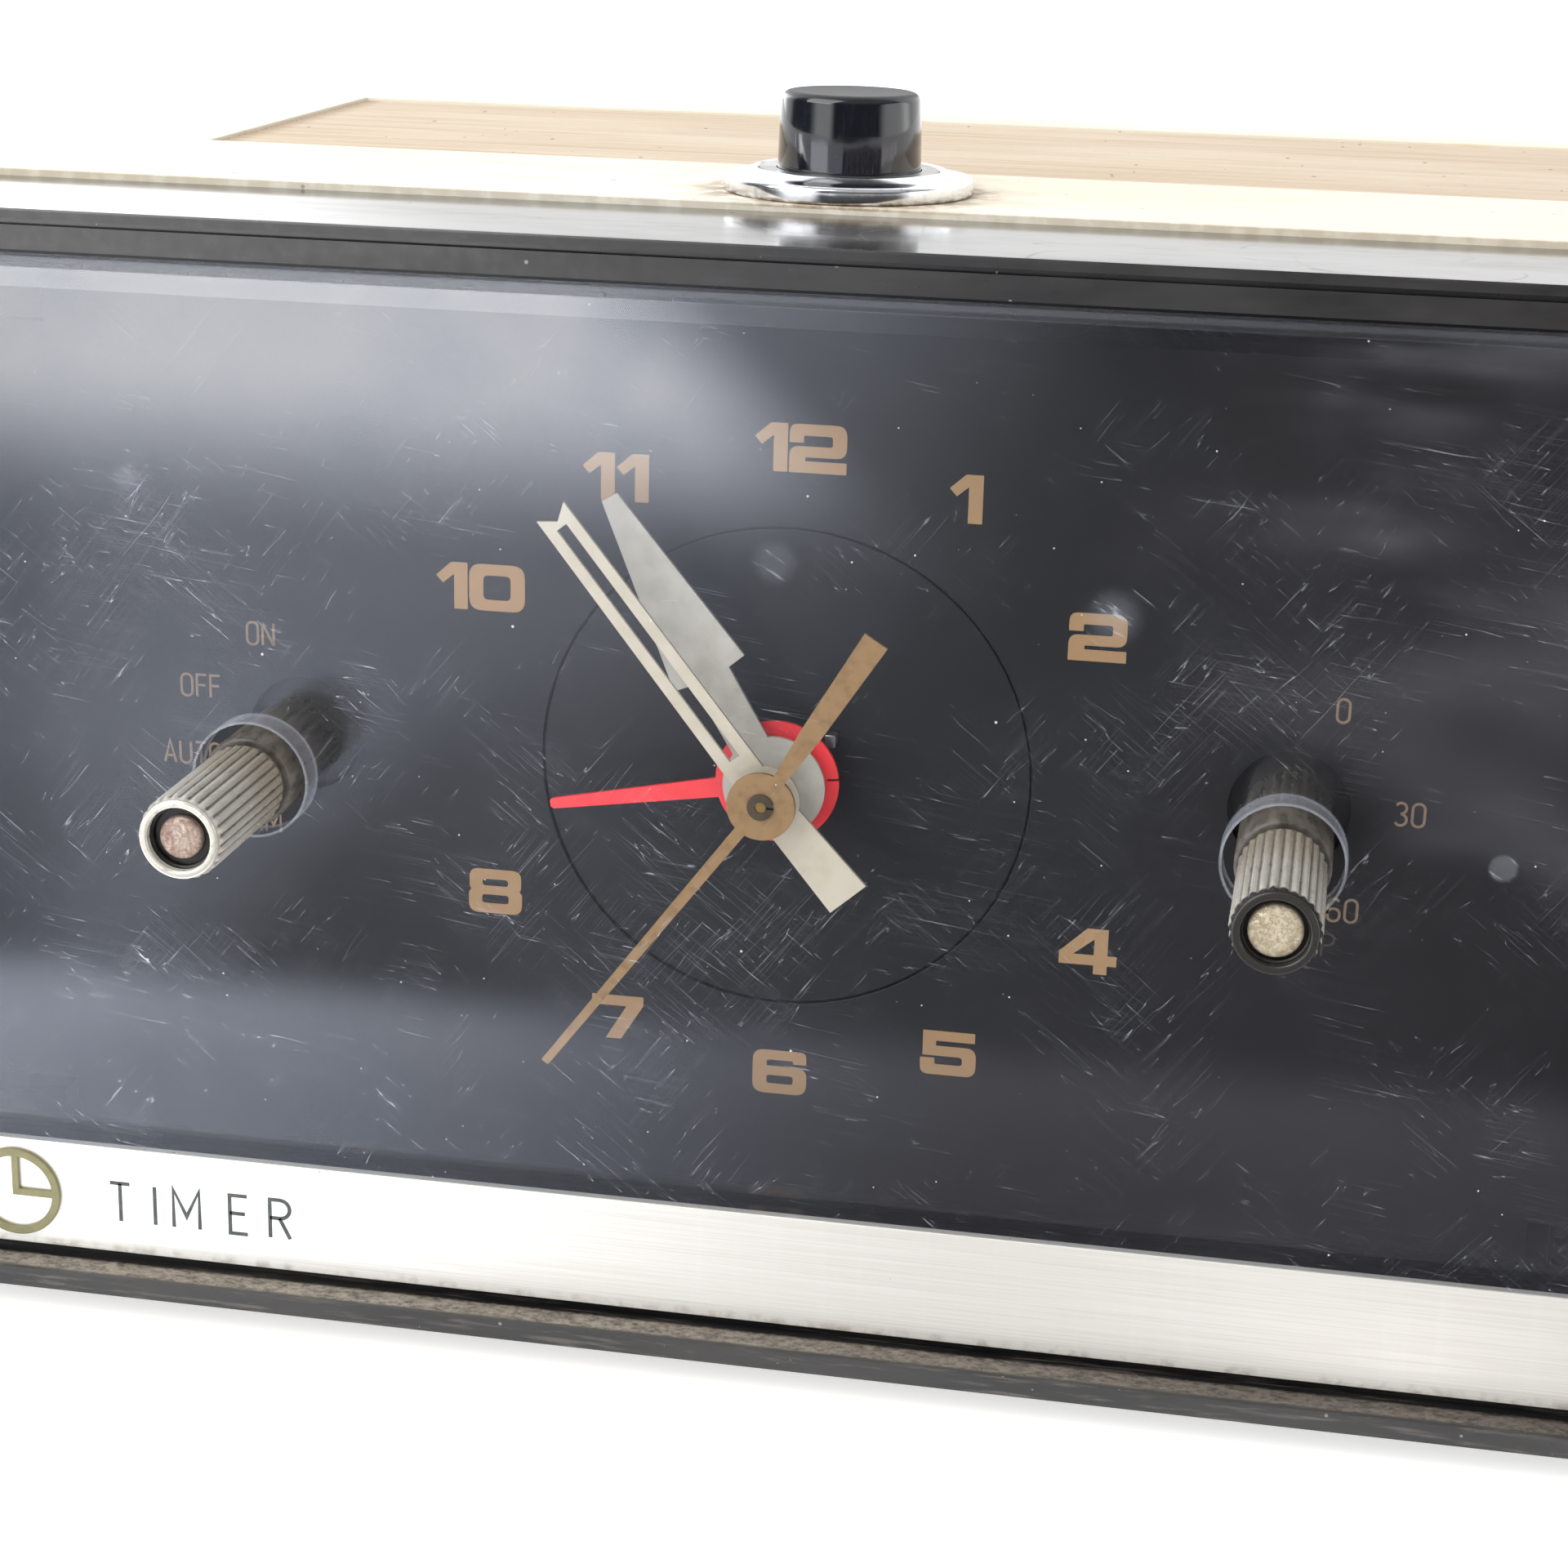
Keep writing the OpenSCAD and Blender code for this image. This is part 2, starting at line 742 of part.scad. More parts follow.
module button_cap() color(black) {
    at_button(0) difference() {
        union() {
            translate([0, 0, ring_t - button_travel - 1.4])
                cylinder(r = button_r, h = button_h + button_travel + 0.6);
            translate([0, 0, ring_t + button_h - 0.8]) cylinder(r1 = button_r, r2 = button_r - 0.8, h = 0.8);
            translate([0, 0, -barrel_len + 1]) cylinder(r = stem_r, h = barrel_len + 1);
        }
    }
}

module button_ring() color(chrome) at_button(0) {
    rotate_extrude() polygon([
        [barrel_r + 0.05, 0], [ring_r, 0], [ring_r, 1.2], [ring_r - 0.5, 1.7], [barrel_r + 0.05, ring_t - 0.2]
    ]);
}

// Threaded sleeve that the button slides in, closed below by a floor with a hole for the stem
module button_barrel() color(steel) at_button(0) {
    rotate_extrude() polygon([
        [stem_r + run, -barrel_len], [barrel_r, -barrel_len], [barrel_r, ring_t - 0.3],
        [button_r + run, ring_t - 0.3], [button_r + run, -barrel_len + 1.4], [stem_r + run, -barrel_len + 1.4]
    ]);
}

module button_nut() color(steel) at_button(-case_wall - nut_t) {
    difference() {
        cylinder(r = nut_r, h = nut_t, $fn = 6);
        translate([0, 0, -1]) cylinder(r = barrel_r + touch, h = nut_t + 2);
    }
}

// Return spring: a stack of wire rings between the cap and the barrel's floor
module button_spring() color(steel) {
    bottom = -barrel_len + 1.4;
    top = ring_t - button_travel - 1.4;
    turns = 5;
    at_button(bottom) {
        for (i = [0:turns - 1]) {
            translate([0, 0, spring_wire + i * (top - bottom - 2 * spring_wire) / (turns - 1)])
                rotate_extrude() translate([spring_r, 0]) circle(r = spring_wire, $fn = 16);
        }
        translate([spring_r - 0.3, -0.25, spring_wire]) cube([0.6, 0.5, top - bottom - 2 * spring_wire]);
    }
}

module button_contacts() color(brass) at_button(-barrel_len) {
    top = 0.7 - button_travel;
    for (dz = [0, -1.6]) {
        translate([-8, -1.5, top + dz - 0.3]) cube([12, 3, 0.3]);
    }
    translate([-11, -2, top - 2.4]) cube([3, 4, 2.4 - top]);
}

// ---- movement: plates and motor ----

module movement_plate(y0) {
    box(-plate_hw, plate_hw, y0, y0 + plate_t, -plate_hh, plate_hh);
}

module plate_screw_holes(y0) {
    for (sx = [-1, 1], sz = [-1, 1]) {
        rod(y0 - 1, y0 + plate_t + 1, screw_r + touch, [sx * pillar_x, sz * pillar_z]);
    }
}

module movement_front_plate() color(brass) in_place() {
    y0 = spacer_end;
    difference() {
        union() {
            movement_plate(y0);
            // Stud that the motion wheel turns on
            rod(hour_wheel_y - 0.2, y0 + 0.1, stud_r, motion_at);
        }
        plate_screw_holes(y0);
        rod(y0 - 1, y0 + plate_t + 1, centre_out + run);
        rod(y0 + 0.4, y0 + plate_t + 1, arbor_r + run, third_at);
        rod(y0 - 1, y0 + plate_t + 1, shaft_r + run, time_set_at);
        rod(y0 - 1, y0 + plate_t + 1, shaft_r + run, auto_set_at);
    }
}

module movement_back_plate() color(brass) in_place() {
    y0 = back_plate_front;
    difference() {
        movement_plate(y0);
        plate_screw_holes(y0);
        rod(y0 - 1, y0 + plate_t + 1, arbor_r + run);
        rod(y0 - 1, y0 + plate_t + 1, arbor_r + run, third_at);
        rod(y0 - 1, y0 + plate_t + 1, shaft_r + run, motor_at);
        rod(y0 - 1, y0 + plate_t + 1, shaft_r + run, time_set_at);
        rod(y0 - 1, y0 + plate_t + 1, shaft_r + run, auto_set_at);
    }
}

module movement_pillars() color(steel) in_place() {
    for (sx = [-1, 1], sz = [-1, 1]) {
        difference() {
            rod(front_plate_back, back_plate_front, pillar_r, [sx * pillar_x, sz * pillar_z]);
            rod(front_plate_back - 1, back_plate_front + 1, screw_r + touch, [sx * pillar_x, sz * pillar_z]);
        }
    }
}

core_left = coil_x - core_leg / 2;
core_right = motor_at[0] + can_r + 4;
core_top = motor_at[1] + can_r + 4;
core_bottom = motor_at[1] - can_r - 4;
core_arm = 5;

module stator_core() color([0.4, 0.4, 0.42]) in_place() {
    y0 = back_plate_back;
    difference() {
        box(core_left, core_right, y0, y0 + core_t, core_bottom, core_top);
        rod(y0 - 1, y0 + core_t + 1, can_r + fit, motor_at);
        box(core_left + core_leg, motor_at[0] - can_r - 4, y0 - 1, y0 + core_t + 1, core_bottom + core_arm,
            core_top - core_arm);
    }
}

module coil_bobbin() color(nylon) in_place() {
    z0 = core_bottom + core_arm + fit;
    z1 = core_top - core_arm - fit;
    yc = back_plate_back + core_t / 2;
    difference() {
        union() {
            box(coil_x - 5, coil_x + 5, yc - 6, yc + 6, z0, z1);
            box(coil_x - 9, coil_x + 9, yc - 10, yc + 10, z0, z0 + 1);
            box(coil_x - 9, coil_x + 9, yc - 10, yc + 10, z1 - 1, z1);
        }
        box(coil_x - core_leg / 2 - fit, coil_x + core_leg / 2 + fit, yc - core_t / 2 - fit,
            yc + core_t / 2 + fit, z0 - 1, z1 + 1);
    }
}

module coil_winding() color([0.5, 0.22, 0.1]) in_place() {
    z0 = core_bottom + core_arm + fit + 1.1;
    z1 = core_top - core_arm - fit - 1.1;
    yc = back_plate_back + core_t / 2;
    difference() {
        box(coil_x - 8.4, coil_x + 8.4, yc - 9.4, yc + 9.4, z0, z1);
        box(coil_x - 5.05, coil_x + 5.05, yc - 6.05, yc + 6.05, z0 - 1, z1 + 1);
    }
}

// Sealed synchronous motor with its own reduction gearing
module motor_can() color(brass) in_place() {
    y0 = back_plate_back;
    difference() {
        rod(y0, y0 + can_len, can_r, motor_at);
        rod(y0 - 1, y0 + 4, shaft_r + run, motor_at);
    }
}

// ---- movement: train ----

module motor_pinion() color(steel) in_place() {
    rod(second_wheel_y - 1, back_plate_back + 3.8, shaft_r, motor_at);
    gear(motor_teeth, train_m, second_wheel_y - 0.3, gear_t + 0.6, shaft_r, motor_at, motor_dir - 180,
         gap = true);
}

module second_wheel() color(brass) in_place() {
    rod(second_y - 0.1, back_plate_back - 0.1, arbor_r);
    gear(second_teeth, train_m, second_wheel_y, gear_t, arbor_r, [0, 0], motor_dir);
    gear(leaf_teeth, train_m, third_wheel_y - 0.3, gear_t + 0.6, arbor_r, [0, 0], third_dir);
    tube(third_wheel_y + gear_t + 0.3, second_wheel_y, 1.1, arbor_r);
}

module third_wheel() color(brass) in_place() {
    rod(spacer_end + 0.5, back_plate_back - 0.1, arbor_r, third_at);
    gear(third_teeth, train_m, third_wheel_y, gear_t, arbor_r, third_at, third_dir - 180, gap = true);
    gear(leaf_teeth, fine_m, centre_wheel_y - 0.3, gear_t + 0.6, arbor_r, third_at, third_dir - 180);
    tube(centre_wheel_y + gear_t + 0.3, third_wheel_y, 1.1, arbor_r, third_at);
}

module centre_wheel() color(brass) in_place() {
    tube(minute_y + hand_t + 0.4, third_wheel_y - 0.6, centre_out, centre_in);
    gear(centre_teeth, fine_m, centre_wheel_y, gear_t, centre_out, [0, 0], third_dir, gap = true);
    tube(front_plate_back + axial, centre_wheel_y, 2, centre_out);
}

// ---- movement: motion work, behind the dial ----

module minute_pipe() color(steel) in_place() {
    tube(minute_y, cannon_gear_y + 1.8, cannon_out, cannon_in);
    gear(cannon_teeth, set_m, cannon_gear_y, 1.8, cannon_out, [0, 0], motion_dir);
}

module motion_wheel() color(brass) in_place() {
    gear(motion_teeth, set_m, motion_wheel_y, gear_t, stud_r + run, motion_at, motion_dir - 180, gap = true);
    gear(motion_leaf, hour_m, hour_wheel_y - 0.1, motion_wheel_y - hour_wheel_y + 0.1, stud_r + run, motion_at,
         motion_dir - 180);
}

module hour_wheel() color(brass) in_place() {
    tube(hour_y, hour_wheel_y + gear_t, hour_out, hour_in);
    gear(hour_teeth, hour_m, hour_wheel_y, gear_t, hour_out, [0, 0], motion_dir, gap = true);
}

module auto_wheel() color(brass) in_place() {
    tube(auto_y, auto_wheel_y + gear_t, auto_out, auto_in);
    gear(auto_teeth, set_m, auto_wheel_y, gear_t, auto_out, [0, 0], auto_set_dir);
}

module set_shaft(at, y0) {
    rod(y0, back_y - 2.5, shaft_r, at);
}

module time_set_shaft() color(steel) in_place() {
    set_shaft(time_set_at, motion_wheel_y - 0.5);
    gear(set_teeth, set_m, motion_wheel_y - 0.3, gear_t + 0.6, shaft_r, time_set_at, time_set_dir - 180);
}

module auto_set_shaft() color(steel) in_place() {
    set_shaft(auto_set_at, auto_wheel_y - 0.4);
    gear(set_teeth, set_m, auto_wheel_y - 0.2, gear_t + 0.5, shaft_r, auto_set_at, auto_set_dir - 180,
         gap = true);
}

module set_knob(at) color(black) in_place() {
    y0 = back_y - set_knob_len;
    difference() {
        union() {
            rod(y0, back_y, set_knob_r - 0.35, at);
            for (i = [0:23]) {
                translate([at[0], 0, at[1]]) rotate([0, i * 15, 0])
                    box(-0.35, 0.35, y0 + 0.8, back_y - 0.6, set_knob_r - 0.8, set_knob_r);
            }
        }
        rod(y0 - 1, back_y - 2.5, shaft_r, at);
    }
}

module time_set_knob() set_knob(time_set_at);
module auto_set_knob() set_knob(auto_set_at);

// ---- rear ----

module rear_cover() color([0.12, 0.11, 0.1]) in_place() {
    y0 = case_d - cover_t;
    difference() {
        box(-cover_hw, cover_hw, y0, case_d, -cover_hh, cover_hh);
        corner_holes(y0 - 1, case_d + 1, screw_r + fit, boss_at);
        rod(y0 - 1, case_d + 1, shaft_r + 0.6, time_set_at);
        rod(y0 - 1, case_d + 1, shaft_r + 0.6, auto_set_at);
        rod(y0 - 1, case_d + 1, outlet_r + touch, outlet_at);
        rod(y0 - 1, case_d + 1, gland_r + touch, gland_at);
        for (i = [0:vent_count - 1], s = [-1, 1]) {
            box(s * vent_at[0] - vent_len / 2, s * vent_at[0] + vent_len / 2, y0 - 1, case_d + 1,
                vent_at[1] - i * 4, vent_at[1] - i * 4 + 1.8);
        }
    }
}

module pan_screw(at, y_head, length) {
    rod(y_head, y_head + head_h, head_r, at);
    rod(y_head - length, y_head, screw_r, at);
}

module rear_screws() color(steel) in_place() {
    for (c = CORNERS) {
        difference() {
            pan_screw([c[0] * boss_at[0], c[1] * boss_at[1]], case_d, 11);
            translate([c[0] * boss_at[0], case_d + head_h, c[1] * boss_at[1]])
                cube([2 * head_r + 1, 1.6, 0.7], center = true);
        }
    }
}

// Screws that hold the frame to the case, the dial to the frame and the movement together
module inner_screws() color(steel) in_place() {
    for (c = CORNERS) {
        pan_screw([c[0] * lug_hole[0], c[1] * lug_hole[1]], lug_y + lug_t, lug_t + 5);
    }
    for (p = dial_screw_at()) {
        pan_screw(p, dial_back, dial_t + 5);
    }
    for (sx = [-1, 1], sz = [-1, 1]) {
        pan_screw([sx * pillar_x, sz * pillar_z], back_plate_back, back_plate_back - spacer_end + 4);
    }
}

module outlet_socket() color([0.1, 0.1, 0.1]) in_place() {
    y0 = case_d - cover_t - outlet_depth;
    difference() {
        union() {
            rod(y0, case_d, outlet_r, outlet_at);
            rod(y0, case_d - cover_t, outlet_r + 2, outlet_at);
            rod(case_d, case_d + 1, outlet_r + 1.6, outlet_at);
        }
        for (s = [-1, 1]) {
            rod(y0 + 2, case_d + 2, outlet_pin_r, outlet_at + [s * outlet_pitch / 2, 0]);
        }
    }
}

module cord_gland() color([0.06, 0.06, 0.06]) in_place() {
    difference() {
        union() {
            rod(case_d - cover_t, case_d, gland_r, gland_at);
            rod(case_d, case_d + 3, gland_r + 2, gland_at);
            rod(case_d - cover_t - 4, case_d - cover_t, gland_r + 1.4, gland_at);
        }
        rod(case_d - cover_t - 5, case_d + 4, gland_bore_r, gland_at);
    }
}

case_shell();
reeded_panel();
front_frame();
window();
trim_strip();
emblem();
dial_plate();
dial_disc();
index_tab();
rear_cover();
feet();
rear_screws();
inner_screws();
second_hand();
second_bush();
minute_hand();
hour_hand();
auto_hand();
selector_shaft();
selector_knob();
selector_sleeve();
selector_disc();
selector_switch();
selector_cam();
selector_contacts();
interval_shaft();
interval_knob();
interval_sleeve();
interval_disc();
interval_switch();
interval_cam();
interval_contacts();
button_cap();
button_ring();
button_barrel();
button_nut();
button_spring();
button_contacts();
movement_front_plate();
movement_back_plate();
movement_pillars();
stator_core();
coil_bobbin();
coil_winding();
motor_can();
motor_pinion();
second_wheel();
third_wheel();
centre_wheel();
minute_pipe();
motion_wheel();
hour_wheel();
auto_wheel();
time_set_shaft();
time_set_knob();
auto_set_shaft();
auto_set_knob();
outlet_socket();
cord_gland();
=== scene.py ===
"""Looks of the mains clock timer: its finishes, its fine shapes, the floor, the light and the camera."""

import json
import math

import bmesh
import bpy
from mathutils import Matrix, Vector

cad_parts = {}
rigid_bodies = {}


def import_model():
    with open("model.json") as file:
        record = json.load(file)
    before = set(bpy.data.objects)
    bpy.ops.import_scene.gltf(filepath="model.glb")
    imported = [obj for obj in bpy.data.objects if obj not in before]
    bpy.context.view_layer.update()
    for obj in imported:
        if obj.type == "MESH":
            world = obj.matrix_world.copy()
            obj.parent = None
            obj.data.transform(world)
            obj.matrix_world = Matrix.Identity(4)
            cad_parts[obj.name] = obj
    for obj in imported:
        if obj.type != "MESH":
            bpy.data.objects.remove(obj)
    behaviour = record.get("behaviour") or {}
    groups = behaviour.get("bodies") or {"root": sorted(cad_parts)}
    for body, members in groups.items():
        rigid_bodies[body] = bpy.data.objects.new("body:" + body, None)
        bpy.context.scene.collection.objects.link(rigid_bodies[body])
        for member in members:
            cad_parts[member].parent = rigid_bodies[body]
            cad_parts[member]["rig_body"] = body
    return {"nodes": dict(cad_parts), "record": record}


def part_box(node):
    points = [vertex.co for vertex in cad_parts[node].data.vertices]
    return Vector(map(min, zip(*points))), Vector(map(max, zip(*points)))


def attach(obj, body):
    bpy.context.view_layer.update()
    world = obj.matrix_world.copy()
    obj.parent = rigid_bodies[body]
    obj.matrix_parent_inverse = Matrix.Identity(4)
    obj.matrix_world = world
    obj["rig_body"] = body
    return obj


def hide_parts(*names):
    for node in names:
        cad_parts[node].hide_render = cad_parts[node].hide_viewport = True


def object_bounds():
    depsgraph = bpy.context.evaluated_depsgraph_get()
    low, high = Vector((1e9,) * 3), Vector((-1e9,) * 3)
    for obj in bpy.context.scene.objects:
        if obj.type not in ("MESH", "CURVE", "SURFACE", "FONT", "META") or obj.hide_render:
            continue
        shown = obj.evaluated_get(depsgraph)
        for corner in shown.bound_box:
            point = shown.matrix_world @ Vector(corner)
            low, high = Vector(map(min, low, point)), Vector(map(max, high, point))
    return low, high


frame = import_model()
cad_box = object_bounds()

# ---- places: everything is measured in mm from the dial's axis, with y from the front lips ----

MM = 0.001
shell_low, shell_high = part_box("case_shell")
FRONT = Vector((0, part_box("front_frame")[0].y, (shell_low.z + shell_high.z) / 2))


def spot(x, y, z):
    """A place in metres, from its distances in mm."""
    return FRONT + Vector((x, y, z)) * MM


def from_front(node):
    """Lowest and highest corner of a node, in mm from the dial's axis and the front lips."""
    low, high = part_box(node)
    return (low - FRONT) / MM, (high - FRONT) / MM


half_h = (shell_high.z - shell_low.z) / 2 / MM
frame_top = from_front("front_frame")[1].z
window_low, window_high = from_front("window")
trim_low, trim_high = from_front("trim_strip")
dial_y = from_front("dial_plate")[0].y
ring_low, ring_high = from_front("button_ring")
button_x, button_y = (ring_low.x + ring_high.x) / 2, (ring_low.y + ring_high.y) / 2
ring_r = (ring_high.x - ring_low.x) / 2
button_top = from_front("button_cap")[1].z
panel_low, panel_high = from_front("reeded_panel")
frame_back = from_front("case_shell")[0].y
knob_low, knob_high = from_front("interval_sleeve")
knob_x = (knob_low.x + knob_high.x) / 2
knob_r = (knob_high.x - knob_low.x) / 2
knob_tip = knob_low.y
hole_r = 5.2  # radius of the window's holes for the knobs
floor_z = cad_box[0].z


# ---- shader maths ----

def rgb(red, green, blue):
    """A colour given as it looks on a screen, from 0 to 255."""
    def linear(c):
        c /= 255
        return c / 12.92 if c <= 0.04045 else ((c + 0.055) / 1.055) ** 2.4
    return (linear(red), linear(green), linear(blue), 1)


class Val:
    """A number or a colour that changes over a surface: one socket of a shader node."""

    def __init__(self, finish, socket):
        self.finish, self.socket = finish, socket

    def maths(self, operation, *values):
        return self.finish.node("ShaderNodeMath", {"operation": operation}, dict(enumerate(values)))

    def __add__(self, other): return self.maths("ADD", self, other)
    def __radd__(self, other): return self.maths("ADD", other, self)
    def __sub__(self, other): return self.maths("SUBTRACT", self, other)
    def __rsub__(self, other): return self.maths("SUBTRACT", other, self)
    def __mul__(self, other): return self.maths("MULTIPLY", self, other)
    def __rmul__(self, other): return self.maths("MULTIPLY", other, self)
    def __truediv__(self, other): return self.maths("DIVIDE", self, other)
    def __pow__(self, other): return self.maths("POWER", self, other)
    def __lt__(self, other): return self.maths("LESS_THAN", self, other)
    def __gt__(self, other): return self.maths("GREATER_THAN", self, other)
    def __abs__(self): return self.maths("ABSOLUTE", self)


class Nodes:
    """A tree of shader nodes that is added to one value at a time."""

    def __init__(self, tree):
        self.tree = tree

    def node(self, kind, settings, inputs, output=0):
        made = self.tree.nodes.new(kind)
        for key, value in settings.items():
            setattr(made, key, value)
        for key, value in inputs.items():
            if isinstance(value, Val):
                self.tree.links.new(value.socket, made.inputs[key])
            elif value is not None:
                made.inputs[key].default_value = value
        return Val(self, made.outputs[output])

    def vector(self, operation, a, b=None, scale=None):
        inputs = {0: a, 1: b}
        if scale is not None:
            inputs = {0: a, "Scale": scale}
        return self.node("ShaderNodeVectorMath", {"operation": operation}, inputs)

    def parts(self, value):
        """The three numbers of a place or a colour."""
        first = self.node("ShaderNodeSeparateXYZ", {}, {0: value})
        return [Val(self, s) for s in first.socket.node.outputs]

    def mix(self, a, b, share):
        """From colour a to colour b."""
        return self.node("ShaderNodeMix", {"data_type": "RGBA"}, {0: share, 6: a, 7: b}, 2)

    def smooth(self, value, low, high):
        """0 below low and 1 above high, or the other way round when low is the larger."""
        if low > high:
            return 1 - self.smooth(value, high, low)
        settings = {"interpolation_type": "SMOOTHSTEP"}
        return self.node("ShaderNodeMapRange", settings, {0: value, 1: low, 2: high, 3: 0, 4: 1})


class Finish(Nodes):
    """A procedural material, with x, y and z in mm from the dial's axis and the front lips."""

    def __init__(self, name):
        self.material = bpy.data.materials.new(name)
        self.material.use_nodes = True
        super().__init__(self.material.node_tree)
        self.tree.nodes.clear()
        self.output = self.tree.nodes.new("ShaderNodeOutputMaterial")
        object_place = self.node("ShaderNodeTexCoord", {}, {}, "Object")
        self.place = self.vector("SCALE", self.vector("SUBTRACT", object_place, FRONT), scale=1 / MM)
        self.x, self.y, self.z = self.parts(self.place)

    def stretched(self, size, stretch, turn, shift):
        """The place on a pattern of the given size, which is turned, shifted and drawn out along each axis."""
        settings = {"vector_type": "TEXTURE"}
        scale = [size * s for s in stretch]
        inputs = {0: self.place, 1: shift, 2: [math.radians(a) for a in turn], 3: scale}
        return self.node("ShaderNodeMapping", settings, inputs)

    def noise(self, size, detail=2, rough=0.5, stretch=(1, 1, 1), turn=(0, 0, 0), shift=(0, 0, 0)):
        where = self.stretched(size, stretch, turn, shift)
        return self.node("ShaderNodeTexNoise", {}, {"Vector": where, "Scale": 1, "Detail": detail, "Roughness": rough})

    def specks(self, size, radius, share, shift=(0, 0, 0)):
        """Small round dots: size is their spacing, radius a share of it, and share how many of them are there."""
        where = self.stretched(size, (1, 1, 1), (0, 0, 0), shift)
        dots = self.node("ShaderNodeTexVoronoi", {}, {"Vector": where, "Scale": 1}, "Distance")
        chance = self.parts(Val(self, dots.socket.node.outputs["Color"]))
        spread = radius * (0.35 + 0.65 * chance[1])
        return self.smooth(dots / spread, 1, 0.6) * (chance[0] < share)

    def scratches(self, size, turn, width, shift=(0, 0, 0), length=30):
        """Fine nearly straight lines in the x-z plane, where a long stretched noise crosses its middle."""
        lines = self.noise(size, 1, 0.3, (length, length, 1), turn, shift)
        line = self.smooth(abs(lines - 0.5), width, width * 0.4)
        broken = self.smooth(self.noise(9, 2, 0.5, shift=shift), 0.5, 0.6)
        return line * broken

    def bump(self, height, depth, strength=1.0):
        """Relief of the given depth in mm."""
        return self.node("ShaderNodeBump", {}, {"Strength": strength, "Distance": depth * MM, "Height": height})

    def shader(self, inputs):
        return self.node("ShaderNodeBsdfPrincipled", {}, inputs)

    def show(self, shader):
        self.tree.links.new(shader.socket, self.output.inputs["Surface"])
        return self.material

    def radius_from(self, x, z):
        """Distance in the x-z plane from a point."""
        return ((self.x - x) ** 2 + (self.z - z) ** 2) ** 0.5

    def from_button(self):
        """Distance from the push button's axis."""
        return ((self.x - button_x) ** 2 + (self.y - button_y) ** 2) ** 0.5


# ---- finishes of the outside ----

PALE_DUST = rgb(196, 192, 186)


def case_ivory():
    """Painted ivory case, yellowed in clouds, with brown dirt around the push button, and painted shade that makes its
    sides darker than its top.
    """
    f = Finish("case_ivory")
    colour = f.mix(rgb(236, 231, 216), rgb(231, 221, 200), f.smooth(f.noise(38, 3), 0.38, 0.66))
    colour = f.mix(colour, rgb(231, 217, 193), f.smooth(f.x, -20, 60) * 0.5)
    around = f.from_button()
    top = f.z > half_h - 0.3
    # Painted shade: below the top edge, the sides are painted darker than the top
    colour = f.mix(rgb(214, 204, 182), colour, f.smooth(f.z, half_h - 3, half_h - 0.5))
    overlay_mask = f.smooth(around, ring_r + 4.5, ring_r - 0.6) * f.smooth(f.noise(2.2, 5, 0.7), 0.36, 0.62) * top
    film = f.smooth(around, ring_r + 16, ring_r) * f.smooth(f.noise(7, 4, 0.6, (2.5, 1, 1)), 0.4, 0.7) * top
    colour = f.mix(colour, rgb(196, 164, 122), film * 0.5)
    colour = f.mix(colour, rgb(120, 88, 58), overlay_mask * 0.75)
    colour = f.mix(colour, rgb(120, 96, 70), f.specks(2.6, 0.16, 0.3) * 0.6)
    smear = f.smooth(f.noise(5, 3, 0.6, (4, 1, 1), shift=(3, 1, 0)), 0.62, 0.74)
    colour = f.mix(colour, rgb(214, 188, 150), smear * 0.45)
    seam = f.smooth(f.y, frame_back + 0.5, frame_back) * f.smooth(f.noise(1.5, 3), 0.3, 0.6)
    colour = f.mix(colour, rgb(170, 150, 122), seam * 0.3)
    rough = 0.38 + 0.2 * f.noise(4, 3) + 0.2 * overlay_mask
    peel = f.bump(f.noise(0.5, 2), 0.018, 0.6)
    return f.show(f.shader({"Base Color": colour, "Roughness": rough, "Normal": peel, "IOR": 1.48}))


def panel_tan():
    """Reeded vinyl panel: streaked along its ribs, with painted shade in the grooves and a painted shadow along its
    left edge.
    """
    f = Finish("panel_tan")
    streak = f.noise(0.5, 3, 0.6, (90, 1, 1))
    colour = f.mix(rgb(204, 188, 168), rgb(190, 172, 149), f.smooth(streak, 0.35, 0.7))
    cloud = f.smooth(f.noise(16, 4, 0.6, (3, 1, 1)), 0.42, 0.7)
    colour = f.mix(colour, rgb(212, 200, 182), cloud * 0.6)
    # Painted shade: the grooves between the ribs are painted darker by their depth
    groove = f.smooth(f.z, panel_high.z - 0.25, panel_high.z - 0.75)
    colour = f.mix(colour, rgb(146, 122, 96), groove * 0.7)
    # Painted shadow: a soft dark band along the left edge of the recessed panel
    colour = f.mix(colour, rgb(150, 124, 96), f.smooth(f.x, panel_low.x + 3, panel_low.x) * 0.7)
    colour = f.mix(colour, rgb(120, 98, 76), f.specks(1.8, 0.18, 0.3) * 0.5)
    rough = 0.5 + 0.2 * f.noise(3, 3)
    grain = f.bump(streak + 0.5 * f.noise(0.3, 2), 0.03, 0.6)
    return f.show(f.shader({"Base Color": colour, "Roughness": rough, "Normal": grain}))


